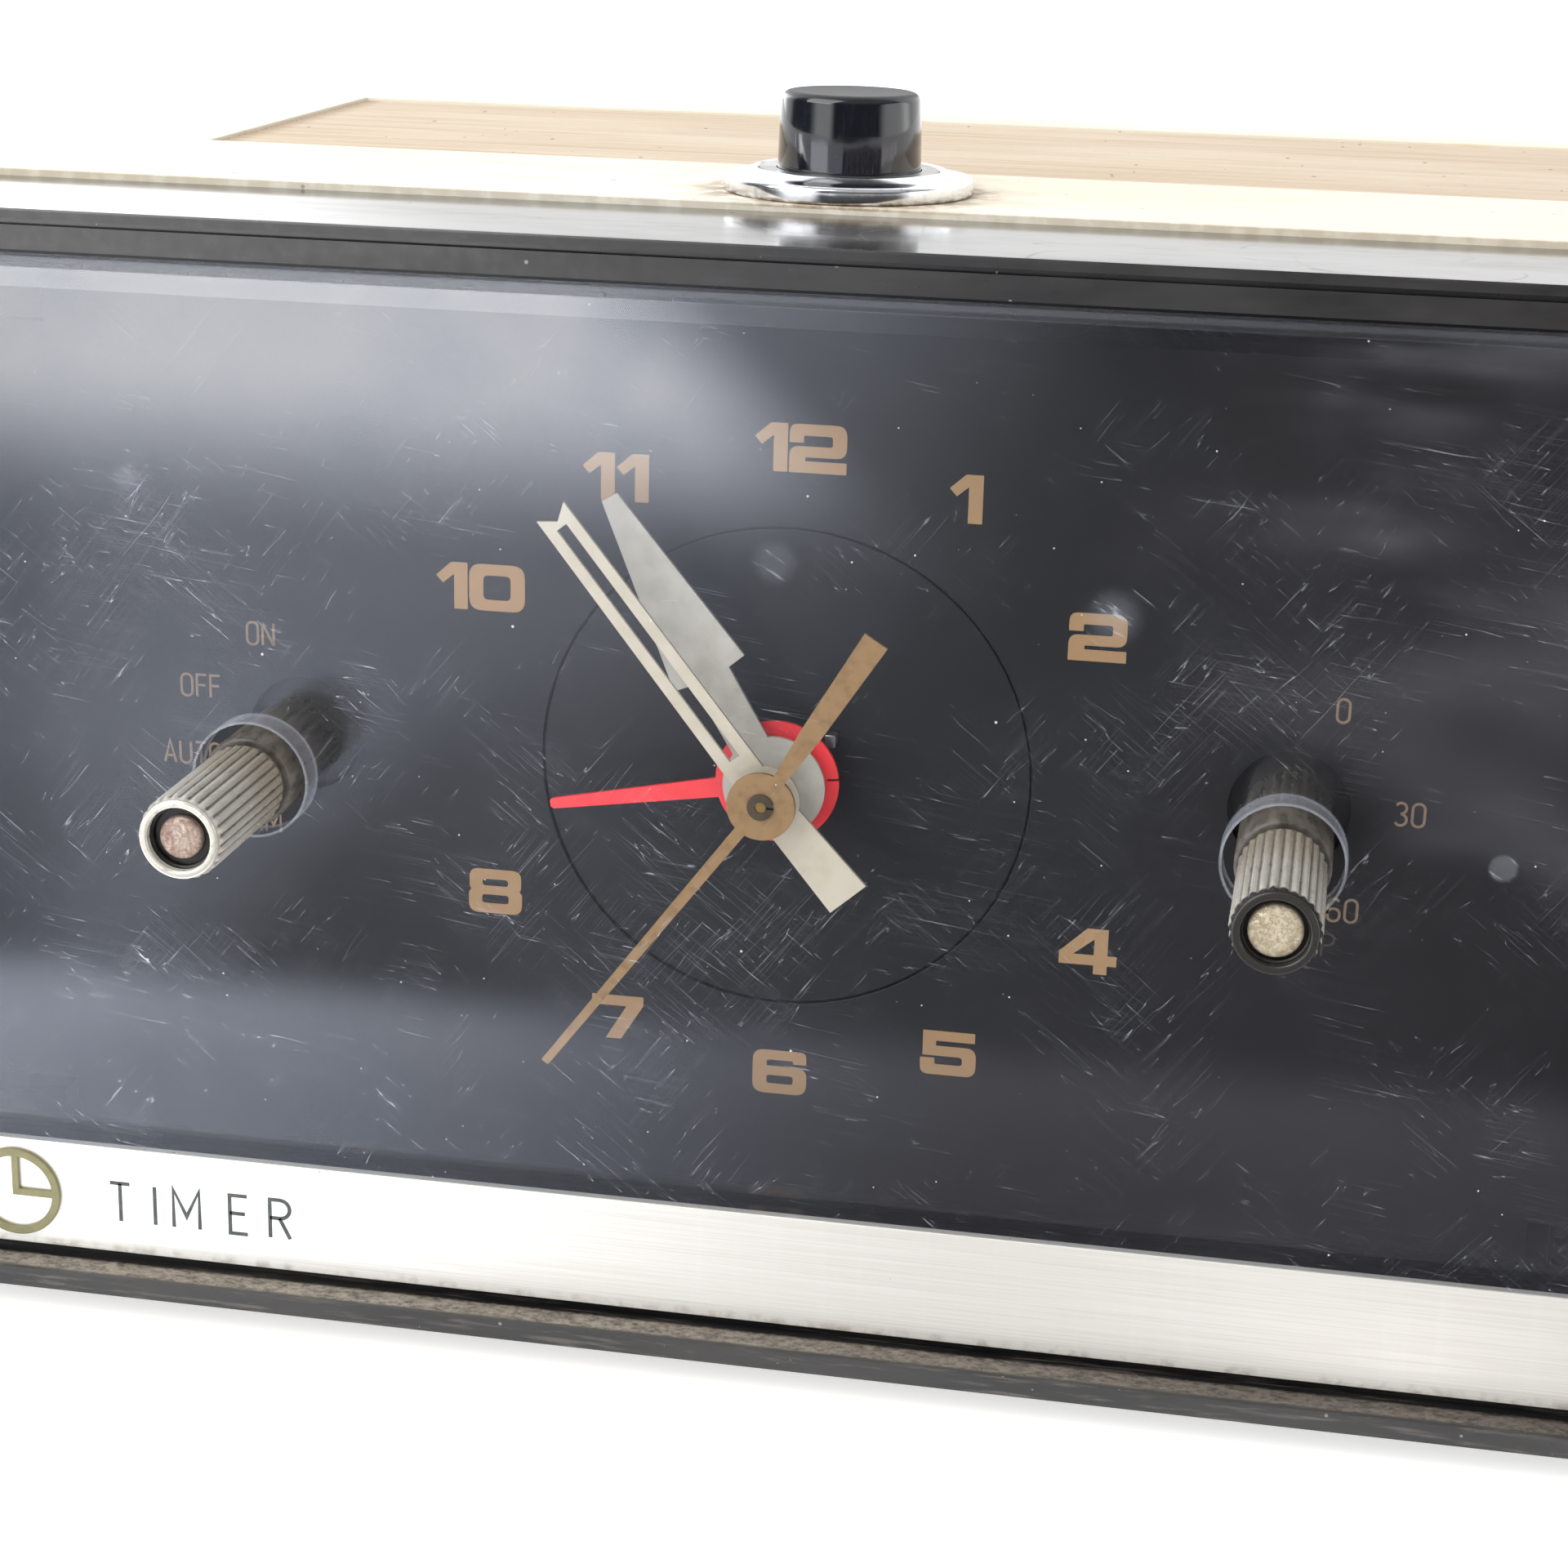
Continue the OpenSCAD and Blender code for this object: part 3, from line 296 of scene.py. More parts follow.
def frame_black():
    """Glossy black moulding: scratched and dusty on top, duller on the front lips, worn pale on its edges, and painted
    near black as shade in the gap above the window.
    """
    f = Finish("frame_black")
    top = f.smooth(f.z, frame_top - 0.25, frame_top - 0.1)
    lower = f.smooth(f.z, -half_h + 2.6, -half_h + 1.6)
    ledge = f.smooth(f.z, trim_low.z + 1, trim_low.z - 0.4) * f.smooth(f.y, 0.3, 0.9)
    ledge = ledge * f.smooth(f.y + 0.5 * f.noise(0.6, 4, 0.7), trim_low.y + 0.1, trim_low.y - 0.5)
    # Painted shade: the recess behind the top lip, above the window, is painted near black
    painted_recess_shade = f.smooth(f.y, window_high.y - 1, window_high.y) * f.smooth(f.z, frame_top - 0.6, frame_top - 1)
    film = f.smooth(f.noise(9, 4, 0.6, (3, 1, 1)), 0.4, 0.75)
    colour = f.mix(rgb(26, 25, 26), rgb(44, 42, 41), film)
    colour = f.mix(colour, PALE_DUST, f.specks(1.3, 0.16, 0.22) * 0.35)
    fluff = f.smooth(f.noise(0.5, 6, 0.75, (1.6, 1, 1)), 0.3, 0.66)
    dust = f.mix(rgb(158, 148, 134), rgb(112, 103, 94), f.smooth(f.x, -30, 60))
    colour = f.mix(colour, dust, ledge * (0.1 + 0.85 * fluff))
    colour = f.mix(colour, rgb(8, 8, 9), painted_recess_shade)
    streaks = f.smooth(f.noise(0.7, 4, 0.65, (14, 1, 1)), 0.52, 0.68)
    colour = f.mix(colour, rgb(132, 124, 116), lower * streaks * 0.3)
    front = f.smooth(f.y, 0.9, 0.1)
    colour = f.mix(colour, rgb(50, 48, 48), front * f.smooth(f.noise(2.4, 4, 0.6, (9, 1, 1)), 0.4, 0.75) * 0.6)
    long_lines = f.scratches(0.8, (0, 8, 84), 0.006, shift=(2, 0, 0))
    cross_lines = f.scratches(0.7, (0, 0, 62), 0.006, shift=(9, 4, 0))
    worn = (long_lines + cross_lines) * top
    colour = f.mix(colour, rgb(150, 148, 144), worn * 0.12)
    rough = 0.2 + 0.12 * film - 0.06 * top + 0.14 * worn + 0.3 * ledge + 0.18 * front * f.noise(1.2, 3)
    relief = f.bump(f.noise(1.1, 3, 0.5) + 0.4 * worn, 0.012, 0.5)
    return f.show(f.shader({
        "Base Color": colour, "Roughness": rough, "Normal": relief, "Coat Weight": 0.4 * top,
        "Coat Roughness": 0.08, "IOR": 1.52}))


def window_clear():
    """Clear moulded window: it mirrors a little, and carries dust, rubbed patches and fine scratches, a painted
    reflection round the knob holes and a painted highlight along its top edge.
    """
    f = Finish("window_clear")
    facing = f.node("ShaderNodeLayerWeight", {}, {"Blend": 0.5}, "Facing")
    mirror = 0.042 + 0.9 * facing ** 5
    face = f.smooth(f.y, window_low.y + 0.4, window_low.y + 0.2)
    rubbed = f.smooth(f.noise(20, 3, 0.6), 0.35, 0.7)
    fine = f.scratches(0.4, (0, 38, 0), 0.004) + f.scratches(0.5, (0, -52, 0), 0.004, shift=(7, 0, 3))
    fine = fine + f.scratches(0.45, (0, 8, 0), 0.0035, shift=(21, 0, 9), length=60)
    specks = f.specks(1.9, 0.06, 0.3) + f.specks(4.5, 0.05, 0.6, (3, 1, 7))
    wipe = f.smooth(f.noise(0.6, 4, 0.7, (6, 2, 1), (0, 30, 0)), 0.54, 0.7)
    patch = f.smooth(f.radius_from(30.5, 20.5), 3.0, 0.4) + 0.6 * f.smooth(f.radius_from(1.5, 23.3), 2.4, 0.8)
    patch = patch + f.smooth(f.radius_from(-56.5, 27), 1.6, 0.3) + f.smooth(f.radius_from(64.2, 1.2), 1.4, 0.9)
    left_knob, right_knob = f.radius_from(-knob_x, 0), f.radius_from(knob_x, 0)
    # Painted reflection: a pale ring round each knob hole stands for its inner wall mirroring the light
    rim = f.smooth(left_knob, hole_r + 0.3, hole_r + 0.16) + f.smooth(right_knob, hole_r + 0.3, hole_r + 0.16)
    # Painted highlight: a pale band along the window's top edge, brighter at the left
    edge = f.smooth(f.z, window_high.z - 0.95, window_high.z - 0.75)
    overlay_mask = fine * (0.12 + 0.34 * rubbed) * (1 + f.smooth(f.x, 20, -50)) + specks * 0.7 + patch * (0.12 + 0.5 * wipe)
    # The film share holds the real dirt plus the painted reflection round the holes and the painted highlight along
    # the top edge
    overlay_mask = face * overlay_mask + rim * 0.3 + edge * (0.1 + 0.2 * f.smooth(f.x, 60, -60))
    haze = 0.003 + 0.012 * rubbed * f.smooth(f.x, 30, -50)
    clear = f.node("ShaderNodeBsdfTransparent", {}, {"Color": (0.97, 0.975, 0.985, 1)})
    gloss = f.shader({
        "Base Color": f.mix(rgb(244, 247, 255), rgb(226, 232, 244), rubbed), "Metallic": 1.0,
        "Roughness": 0.03 + 0.07 * rubbed})
    film = f.shader({
        "Base Color": f.mix(rgb(176, 180, 190), rgb(214, 210, 202), specks), "Roughness": 0.5 + 0.2 * wipe})
    body = f.node("ShaderNodeMixShader", {}, {0: mirror, 1: clear, 2: gloss})
    return f.show(f.node("ShaderNodeMixShader", {}, {0: overlay_mask + haze, 1: body, 2: film}))


def trim_metal():
    """Aluminium strip brushed along its length, with small dents and dark marks near its lower edge."""
    f = Finish("trim_metal")
    brushed = f.noise(0.16, 3, 0.7, (160, 1, 1))
    colour = f.mix(rgb(234, 233, 227), rgb(221, 218, 209), f.smooth(brushed, 0.3, 0.75))
    cross = f.noise(1.4, 2, 0.5, (1, 1, 30))
    colour = f.mix(colour, rgb(240, 240, 240), f.smooth(cross, 0.5, 0.8) * 0.15)
    colour = f.mix(colour, rgb(90, 84, 76), f.specks(3.4, 0.07, 0.2, (0, 0, 2)) * 0.7)
    low = f.smooth(f.z, trim_low.z + 1.2, trim_low.z + 0.1)
    colour = f.mix(colour, rgb(150, 134, 112), low * f.smooth(f.noise(1.4, 4), 0.45, 0.7) * 0.5)
    rough = 0.34 + 0.22 * brushed
    lines = f.bump(brushed + 0.3 * f.noise(0.5, 2), 0.01, 0.5)
    return f.show(f.shader({"Base Color": colour, "Metallic": 0.55, "Roughness": rough, "Normal": lines}))


def emblem_olive():
    """Olive enamel of the emblem, a little mottled."""
    f = Finish("emblem_olive")
    colour = f.mix(rgb(132, 128, 84), rgb(104, 98, 58), f.noise(1.2, 4))
    rough = 0.25 + 0.2 * f.noise(0.8, 3)
    return f.show(f.shader({"Base Color": colour, "Roughness": rough, "Normal": f.bump(f.noise(0.4, 2), 0.01)}))


def dial_dark():
    """Dark blue-black dial with a faint brushed sheen, painted shade round the knobs and dust."""
    f = Finish("dial_dark")
    brushed = f.noise(0.25, 2, 0.6, (40, 1, 1), (0, 3, 0))
    cloud = f.smooth(f.noise(26, 3), 0.35, 0.7)
    colour = f.mix(rgb(13, 14, 19), rgb(18, 20, 26), cloud)
    colour = f.mix(colour, rgb(24, 19, 22), f.smooth(f.x, 15, 60) * 0.7)
    colour = f.mix(colour, PALE_DUST, f.specks(1.7, 0.06, 0.3, (4, 0, 1)) * 0.3)
    # Painted shade: the dial is painted darker round each knob
    painted_knob_shade = f.smooth(f.radius_from(-knob_x, 0), 8.5, 5) + f.smooth(f.radius_from(knob_x, 0), 8.5, 5)
    colour = f.mix(colour, rgb(12, 12, 14), painted_knob_shade * 0.7)
    rough = 0.45 + 0.14 * brushed
    return f.show(f.shader({"Base Color": colour, "Roughness": rough, "Normal": f.bump(brushed, 0.002, 0.3)}))


def print_bronze(name, colour, worn):
    """Printed bronze ink, a little uneven."""
    f = Finish(name)
    tone = f.mix(colour, worn, f.smooth(f.noise(1.1, 4, 0.6), 0.4, 0.75))
    rough = 0.4 + 0.2 * f.noise(0.4, 3)
    inputs = {"Base Color": tone, "Metallic": 0.15, "Roughness": rough, "Normal": f.bump(f.noise(0.15, 2), 0.004)}
    return f.show(f.shader(inputs))


def hand_paint(name, colour, shade, rough):
    """Painted sheet metal: slightly mottled, with a few dark specks."""
    f = Finish(name)
    tone = f.mix(colour, shade, f.smooth(f.noise(2.6, 4, 0.6), 0.35, 0.75))
    tone = f.mix(tone, rgb(86, 80, 70), f.specks(1.5, 0.07, 0.25) * 0.5)
    sheen = rough + 0.15 * f.noise(1, 3)
    relief = f.bump(f.noise(0.2, 3), 0.008, 0.6)
    return f.show(f.shader({"Base Color": tone, "Roughness": sheen, "Normal": relief}))


def knob_metal(name, worn_tip):
    """Plated ribs with dirt in the grooves. A worn tip has lost its plating and shows black."""
    f = Finish(name)
    radius = f.radius_from(knob_x if worn_tip else -knob_x, 0)
    groove = f.smooth(radius, knob_r - 0.1, knob_r - 0.25) * f.smooth(f.y, knob_tip + 0.5, knob_tip + 0.9)
    speckle = f.smooth(f.noise(0.5, 5, 0.7, (1, 4, 1)), 0.5, 0.72)
    colour = f.mix(rgb(244, 240, 230), rgb(206, 196, 176), speckle)
    further = f.smooth(f.y, knob_tip + 5, knob_tip + 14)
    colour = f.mix(colour, rgb(196, 178, 148), further * 0.6)
    colour = f.mix(colour, rgb(52, 43, 33), groove * (0.75 + 0.2 * speckle))
    tip = f.smooth(f.y, knob_tip + 0.4, knob_tip + 0.1)
    colour = f.mix(colour, rgb(150, 146, 130), tip * (0.4 + 0.4 * speckle))
    plated = 0.5 - 0.4 * groove
    rough = 0.22 + 0.16 * speckle + 0.25 * groove
    if worn_tip:
        bare = f.smooth(f.y + 1.1 * f.noise(0.9, 4), knob_tip + 1.7, knob_tip + 1.2)
        colour = f.mix(colour, rgb(20, 19, 18), bare * 0.97)
        plated = plated * (1 - bare)
    relief = f.bump(f.noise(0.25, 4, 0.6), 0.012, 0.5)
    return f.show(f.shader({
        "Base Color": colour, "Metallic": plated, "Roughness": rough, "Normal": relief}))


def disc_metal(name, colour, stain):
    """Pitted metal disc in a knob's tip."""
    f = Finish(name)
    pits = f.smooth(f.noise(0.32, 5, 0.75), 0.42, 0.62)
    blots = f.smooth(f.noise(0.9, 4, 0.6, shift=(5, 0, 2)), 0.4, 0.65)
    tone = f.mix(colour, stain, 0.75 * blots)
    tone = f.mix(tone, rgb(110, 92, 72), pits * 0.45)
    relief = f.bump(pits, 0.05, 0.8)
    return f.show(f.shader({"Base Color": tone, "Metallic": 0.5, "Roughness": 0.3 + 0.3 * pits, "Normal": relief}))


def knob_black():
    """Black moulding of the knobs: worn brown-grey on the smooth collar, with painted shade darkening it further in
    towards the dial.
    """
    f = Finish("knob_black")
    collar = f.smooth(f.y, 2.2, 3.2) * f.smooth(f.y, 30, 28)
    rub = f.smooth(f.noise(1.1, 4, 0.6, (1, 3, 1)), 0.35, 0.7)
    colour = f.mix(rgb(20, 19, 18), rgb(34, 31, 28), rub)
    colour = f.mix(colour, rgb(128, 120, 110), collar * (0.4 + 0.5 * rub))
    # Painted shade: the collar is painted dark again further in, towards the dial
    colour = f.mix(colour, rgb(20, 20, 20), f.smooth(f.y, 7, 14) * 0.85)
    rough = 0.26 + 0.2 * rub
    return f.show(f.shader({"Base Color": colour, "Roughness": rough, "Normal": f.bump(f.noise(0.4, 3), 0.02, 0.5)}))


def ring_chrome():
    """Bright chrome with pits, and brown dirt in the corner under the cap."""
    f = Finish("ring_chrome")
    around = f.from_button()
    pits = f.specks(0.9, 0.14, 0.2)
    tone = f.mix(rgb(236, 238, 242), rgb(196, 196, 198), f.smooth(f.noise(1.6, 4), 0.45, 0.75))
    tone = f.mix(tone, rgb(90, 74, 56), pits * 0.6)
    low = f.smooth(f.z, half_h + 0.5, half_h + 0.05) * f.smooth(f.noise(0.8, 4), 0.35, 0.6)
    tone = f.mix(tone, rgb(104, 84, 62), low * 0.6 + 0.4 * f.smooth(around, ring_r - 2.6, ring_r - 3.2))
    rough = 0.07 + 0.12 * f.noise(1.4, 4) + 0.2 * pits
    return f.show(f.shader({"Base Color": tone, "Metallic": 1.0, "Roughness": rough,
                            "Normal": f.bump(f.noise(2.2, 2), 0.015, 0.4)}))


def button_black():
    """Polished black cap with fine dust and hairline rubs."""
    f = Finish("button_black")
    dust = f.specks(0.6, 0.1, 0.2)
    rub = f.smooth(f.noise(1.1, 5, 0.7, (1, 1, 3)), 0.5, 0.75)
    colour = f.mix(rgb(9, 12, 20), rgb(22, 26, 40), rub)
    colour = f.mix(colour, rgb(130, 132, 140), dust * 0.3)
    dome = f.smooth(f.z, button_top - 0.5, button_top - 0.15)
    rough = 0.06 + 0.06 * rub + 0.2 * dust + 0.4 * dome
    return f.show(f.shader({"Base Color": colour, "Roughness": rough, "IOR": 1.5, "Coat Weight": 0.5 - 0.5 * dome,
                            "Coat Roughness": 0.04, "Normal": f.bump(f.noise(1.5, 3), 0.008, 0.4)}))


# ---- finishes of the other pieces ----

def moulding(name, colour, worn, rough=0.45, grain=0.5, relief=0.02):
    """Moulded plastic, rubber or painted iron: clouded, finely grained and a little dusty."""
    f = Finish(name)
    tone = f.mix(colour, worn, f.smooth(f.noise(grain * 14, 4, 0.6), 0.4, 0.75))
    tone = f.mix(tone, PALE_DUST, f.specks(grain * 4, 0.09, 0.25) * 0.25)
    sheen = rough + 0.18 * f.noise(grain * 5, 3)
    return f.show(f.shader({
        "Base Color": tone, "Roughness": sheen, "Normal": f.bump(f.noise(grain, 3, 0.6), relief, 0.7)}))


def bare_metal(name, colour, tarnish, rough=0.25, stretch=(1, 1, 1), size=0.3):
    """Turned or rolled metal with tool marks and tarnish."""
    f = Finish(name)
    marks = f.noise(size, 3, 0.6, stretch)
    tone = f.mix(colour, tarnish, f.smooth(f.noise(5, 4, 0.6), 0.42, 0.75))
    sheen = rough + 0.2 * marks
    return f.show(f.shader({
        "Base Color": tone, "Metallic": 0.95, "Roughness": sheen, "Normal": f.bump(marks, 0.01, 0.6)}))


def winding_copper():
    """Enamelled copper wire in close turns."""
    f = Finish("winding_copper")
    turns = f.node("ShaderNodeTexWave", {"bands_direction": "Z"}, {
        "Vector": f.place, "Scale": 0.7, "Distortion": 0.4, "Detail": 1})
    tone = f.mix(rgb(120, 52, 26), rgb(186, 98, 52), turns)
    return f.show(f.shader({
        "Base Color": tone, "Metallic": 0.7, "Roughness": 0.3 + 0.2 * f.noise(1, 2), "Normal": f.bump(turns, 0.08)}))


FINISHES = {
    "case_ivory": case_ivory(),
    "panel_tan": panel_tan(),
    "frame_black": frame_black(),
    "window_clear": window_clear(),
    "trim_metal": trim_metal(),
    "emblem_olive": emblem_olive(),
    "dial_dark": dial_dark(),
    "bronze_print": print_bronze("bronze_print", rgb(154, 121, 78), rgb(136, 104, 64)),
    "hand_cream": hand_paint("hand_cream", rgb(200, 190, 170), rgb(190, 179, 156), 0.4),
    "hand_grey": hand_paint("hand_grey", rgb(188, 184, 172), rgb(170, 165, 152), 0.4),
    "hand_red": hand_paint("hand_red", rgb(252, 54, 60), rgb(240, 44, 52), 0.35),
    "bright_steel": bare_metal("bright_steel", rgb(196, 196, 196), rgb(150, 146, 140), 0.22),
    "clock_brass": bare_metal("clock_brass", rgb(206, 170, 98), rgb(164, 128, 70), 0.26, (8, 8, 1)),
    "knob_black": knob_black(),
    "knob_metal": knob_metal("knob_metal", False),
    "disc_metal": disc_metal("disc_metal", rgb(196, 176, 164), rgb(150, 112, 98)),
    "cover_black": moulding("cover_black", rgb(38, 36, 35), rgb(52, 49, 46), 0.5, 0.7, 0.05),
    "rubber_black": moulding("rubber_black", rgb(28, 27, 27), rgb(46, 44, 42), 0.7, 0.4, 0.04),
    "switch_brown": moulding("switch_brown", rgb(30, 24, 22), rgb(22, 18, 17), 0.4, 0.5),
    "nylon_natural": moulding("nylon_natural", rgb(222, 218, 202), rgb(206, 198, 176), 0.4, 0.4),
    "winding_copper": winding_copper(),
    "core_iron": bare_metal("core_iron", rgb(110, 110, 112), rgb(84, 76, 68), 0.45, (30, 1, 30), 0.25),
    "ring_chrome": ring_chrome(),
    "button_black": button_black(),
    "spring_steel": bare_metal("spring_steel", rgb(170, 172, 176), rgb(120, 116, 110), 0.3),
}
NUMERAL_INK = print_bronze("numeral_ink", rgb(168, 134, 94), rgb(172, 136, 94))
LABEL_INK = print_bronze("label_ink", rgb(138, 116, 92), rgb(120, 100, 78))
FAINT_INK = print_bronze("faint_ink", rgb(70, 62, 56), rgb(56, 50, 46))
DARK_BRONZE = bare_metal("dark_bronze", rgb(112, 98, 80), rgb(84, 72, 58), 0.4)
LETTER_INK = print_bronze("letter_ink", rgb(62, 66, 62), rgb(84, 88, 82))
WORN_KNOB_METAL = knob_metal("knob_metal_worn", True)
BRIGHT_DISC_METAL = disc_metal("disc_metal_bright", rgb(222, 210, 184), rgb(196, 178, 148))

SLOT_OF = {part["node"]: part["material_slot"] for part in frame["record"]["subparts"]}
for node, piece in frame["nodes"].items():
    piece.data.materials.clear()
    piece.data.materials.append(FINISHES[SLOT_OF[node]])


# ---- shaping ----

SAME_POINT = 1e-7  # points closer than this, in metres, are one
CAD_SAME_POINT = 2e-6  # the same for the points of a CAD node
FLAT_ANGLE = 1  # faces that meet within this angle, in degrees, are one flat face
SHARP_ANGLE = 32  # faces that meet at more than this, in degrees, keep a hard edge


def add_piece(name, bm, body, slot, nodes=(), finish=None, sharp=SHARP_ANGLE):
    """Makes a bmesh an object in its finish, riding on its body."""
    bmesh.ops.remove_doubles(bm, verts=bm.verts, dist=SAME_POINT)
    bmesh.ops.recalc_face_normals(bm, faces=bm.faces)
    mesh = bpy.data.meshes.new(name)
    bm.to_mesh(mesh)
    bm.free()
    mesh.polygons.foreach_set("use_smooth", [True] * len(mesh.polygons))
    mesh.set_sharp_from_angle(angle=math.radians(sharp))
    mesh.materials.append(finish or FINISHES[slot])
    piece = bpy.data.objects.new(name, mesh)
    bpy.context.scene.collection.objects.link(piece)
    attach(piece, body)
    if nodes:
        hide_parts(*nodes)
    return piece


def softened(name, node, width, segments=2):
    """A copy of a node with its hard edges rounded."""
    cad = frame["nodes"][node]
    bm = bmesh.new()
    bm.from_mesh(cad.data)
    bmesh.ops.remove_doubles(bm, verts=bm.verts, dist=CAD_SAME_POINT)
    bmesh.ops.dissolve_limit(
        bm, angle_limit=math.radians(FLAT_ANGLE), verts=bm.verts, edges=bm.edges, delimit={"NORMAL"})
    hard = [e for e in bm.edges if e.is_manifold and e.calc_face_angle(0) > math.radians(SHARP_ANGLE)]
    bmesh.ops.bevel(
        bm, geom=hard, offset=width * MM, offset_type="OFFSET", affect="EDGES", segments=segments, profile=0.5,
        material=-1, clamp_overlap=True)
    piece = add_piece(name, bm, cad["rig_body"], SLOT_OF[node], [node], sharp=40)
    soft = piece.modifiers.new("even_shading", "WEIGHTED_NORMAL")
    soft.keep_sharp = True


def turned(profile, steps, centre, upright=False):
    """A profile of (radius, distance along the axis) spun round an axis along y, or upwards."""
    bm = bmesh.new()
    verts = [bm.verts.new(Vector((r, a, 0)) * MM) for r, a in profile]
    edges = [bm.edges.new(pair) for pair in zip(verts, verts[1:])]
    if profile[0][0] > 0 and profile[-1][0] > 0:
        edges.append(bm.edges.new((verts[-1], verts[0])))
    bmesh.ops.spin(
        bm, geom=verts + edges, cent=(0, 0, 0), axis=(0, 1, 0), angle=math.tau, steps=steps, use_merge=True)
    bmesh.ops.remove_doubles(bm, verts=bm.verts, dist=SAME_POINT)
    bmesh.ops.recalc_face_normals(bm, faces=bm.faces)
    turn = Matrix.Rotation(math.pi / 2, 4, "X") if upright else Matrix.Identity(4)
    bmesh.ops.transform(bm, matrix=Matrix.Translation(spot(*centre)) @ turn, verts=bm.verts)
    return bm


def arc(cx, cy, r, start, end, steps=5):
    """Points along an arc, in degrees."""
    angles = [math.radians(start + (end - start) * k / steps) for k in range(steps + 1)]
    return [(cx + r * math.cos(a), cy + r * math.sin(a)) for a in angles]


# ---- case, frame, window and trim ----

softened("case_walls", "case_shell", 0.35)
softened("panel_ribs", "reeded_panel", 0.08, 1)
softened("frame_moulding", "front_frame", 0.22)
frame["nodes"]["window"].visible_shadow = False  # light passes through it to the dial
softened("trim_plate", "trim_strip", 0.12)
softened("emblem_badge", "emblem", 0.1)
softened("dial_board", "dial_plate", 0.1)
softened("dial_centre", "dial_disc", 0.12)
softened("centre_index", "index_tab", 0.1)
softened("back_cover", "rear_cover", 0.3)
softened("outlet_face", "outlet_socket", 0.35)
softened("foot_pads", "feet", 0.8, 3)
softened("back_screws", "rear_screws", 0.25)
softened("cord_grip", "cord_gland", 0.5, 3)


# ---- hands ----

frame["nodes"]["second_bush"].data.materials[0] = DARK_BRONZE


# ---- knobs ----

RIBS = 26
RIB_STEPS = 8
RIB_HEIGHT = 0.28
SLEEVE_END = 2.6


def ribbed_sleeve(name, node, body, side, finish):
    """Knurled metal sleeve: straight round ribs that start softly behind a plain rim."""
    tip, end = knob_tip, SLEEVE_END
    root = knob_r - RIB_HEIGHT
    lengths = [0.35, 0.6, 0.9, 1.25, 3, 8, end - tip - 1, end - tip - 0.6, end - tip - 0.3]
    outside = [(root, tip + y) for y in lengths]
    rim = arc(root - 0.22, tip + 0.24, 0.22, 0, -90) + arc(knob_r - 0.8, tip + 0.2, 0.2, -90, -180)
    bore_r = knob_r - 0.75
    profile = rim + [(knob_r - 1.0, tip + 0.72), (bore_r, tip + 0.74), (bore_r, end), (root - 0.05, end)]
    bm = turned(profile + outside[::-1], RIBS * RIB_STEPS, (side, 0, 0))
    centre = spot(side, 0, 0)
    for v in bm.verts:
        away = v.co - centre
        y = away.y / MM
        radius = math.hypot(away.x, away.z) / MM
        if abs(radius - root) > 0.01 or not tip + 0.3 < y < end - 0.2:
            continue
        start = min(1, max(0, (y - tip - 0.35) / 0.9)) ** 0.5
        finish_at = min(1, max(0, (end - 0.3 - y) / 0.7))
        wave = (0.5 + 0.5 * math.cos(RIBS * math.atan2(away.z, away.x))) ** 0.7
        grown = (radius + RIB_HEIGHT * wave * start * finish_at) / radius
        v.co.x, v.co.z = centre.x + away.x * grown, centre.z + away.z * grown
    add_piece(name, bm, body, "knob_metal", [node], finish, 50)


def knob_moulding(name, node, body, side):
    """Black core of a knob with its smooth collar behind the window."""
    low, high = from_front(node)
    collar_r = (high.x - low.x) / 2
    core_r = knob_r - 0.78
    front, back = low.y, high.y
    profile = [(0, front + 0.5), (core_r - 0.5, front + 0.5)]
    profile += arc(core_r - 0.25, front + 0.25, 0.25, 180, 270)[1:]
    profile += [(core_r, front + 0.2), (core_r, SLEEVE_END + 0.02)]
    profile += arc(collar_r - 0.4, 3.0, 0.4, -90, 0)
    profile += [(collar_r, 8), (collar_r, back - 0.3), (collar_r - 0.3, back), (0, back)]
    bm = turned(profile, 96, (side, 0, 0))
    add_piece(name, bm, body, "knob_black", [node])


def knob_button(name, node, body, side, finish):
    """Slightly domed metal disc in a knob's tip."""
    low, high = from_front(node)
    r = (high.x - low.x) / 2
    profile = [(0, low.y + 0.02), (0.5 * r, low.y + 0.05), (0.85 * r, low.y + 0.16)]
    profile += [(0.96 * r, low.y + 0.28), (r, low.y + 0.5), (r, high.y), (0, high.y)]
    add_piece(name, turned(profile, 64, (side, 0, 0)), body, "disc_metal", [node], finish, 60)


for side, body, metal, disc in [
        (-knob_x, "selector", FINISHES["knob_metal"], FINISHES["disc_metal"]),
        (knob_x, "interval", WORN_KNOB_METAL, BRIGHT_DISC_METAL)]:
    ribbed_sleeve(body + "_ribs", body + "_sleeve", body, side, metal)
    knob_moulding(body + "_core", body + "_knob", body, side)
    knob_button(body + "_tip", body + "_disc", body, side, disc)


# ---- push button ----

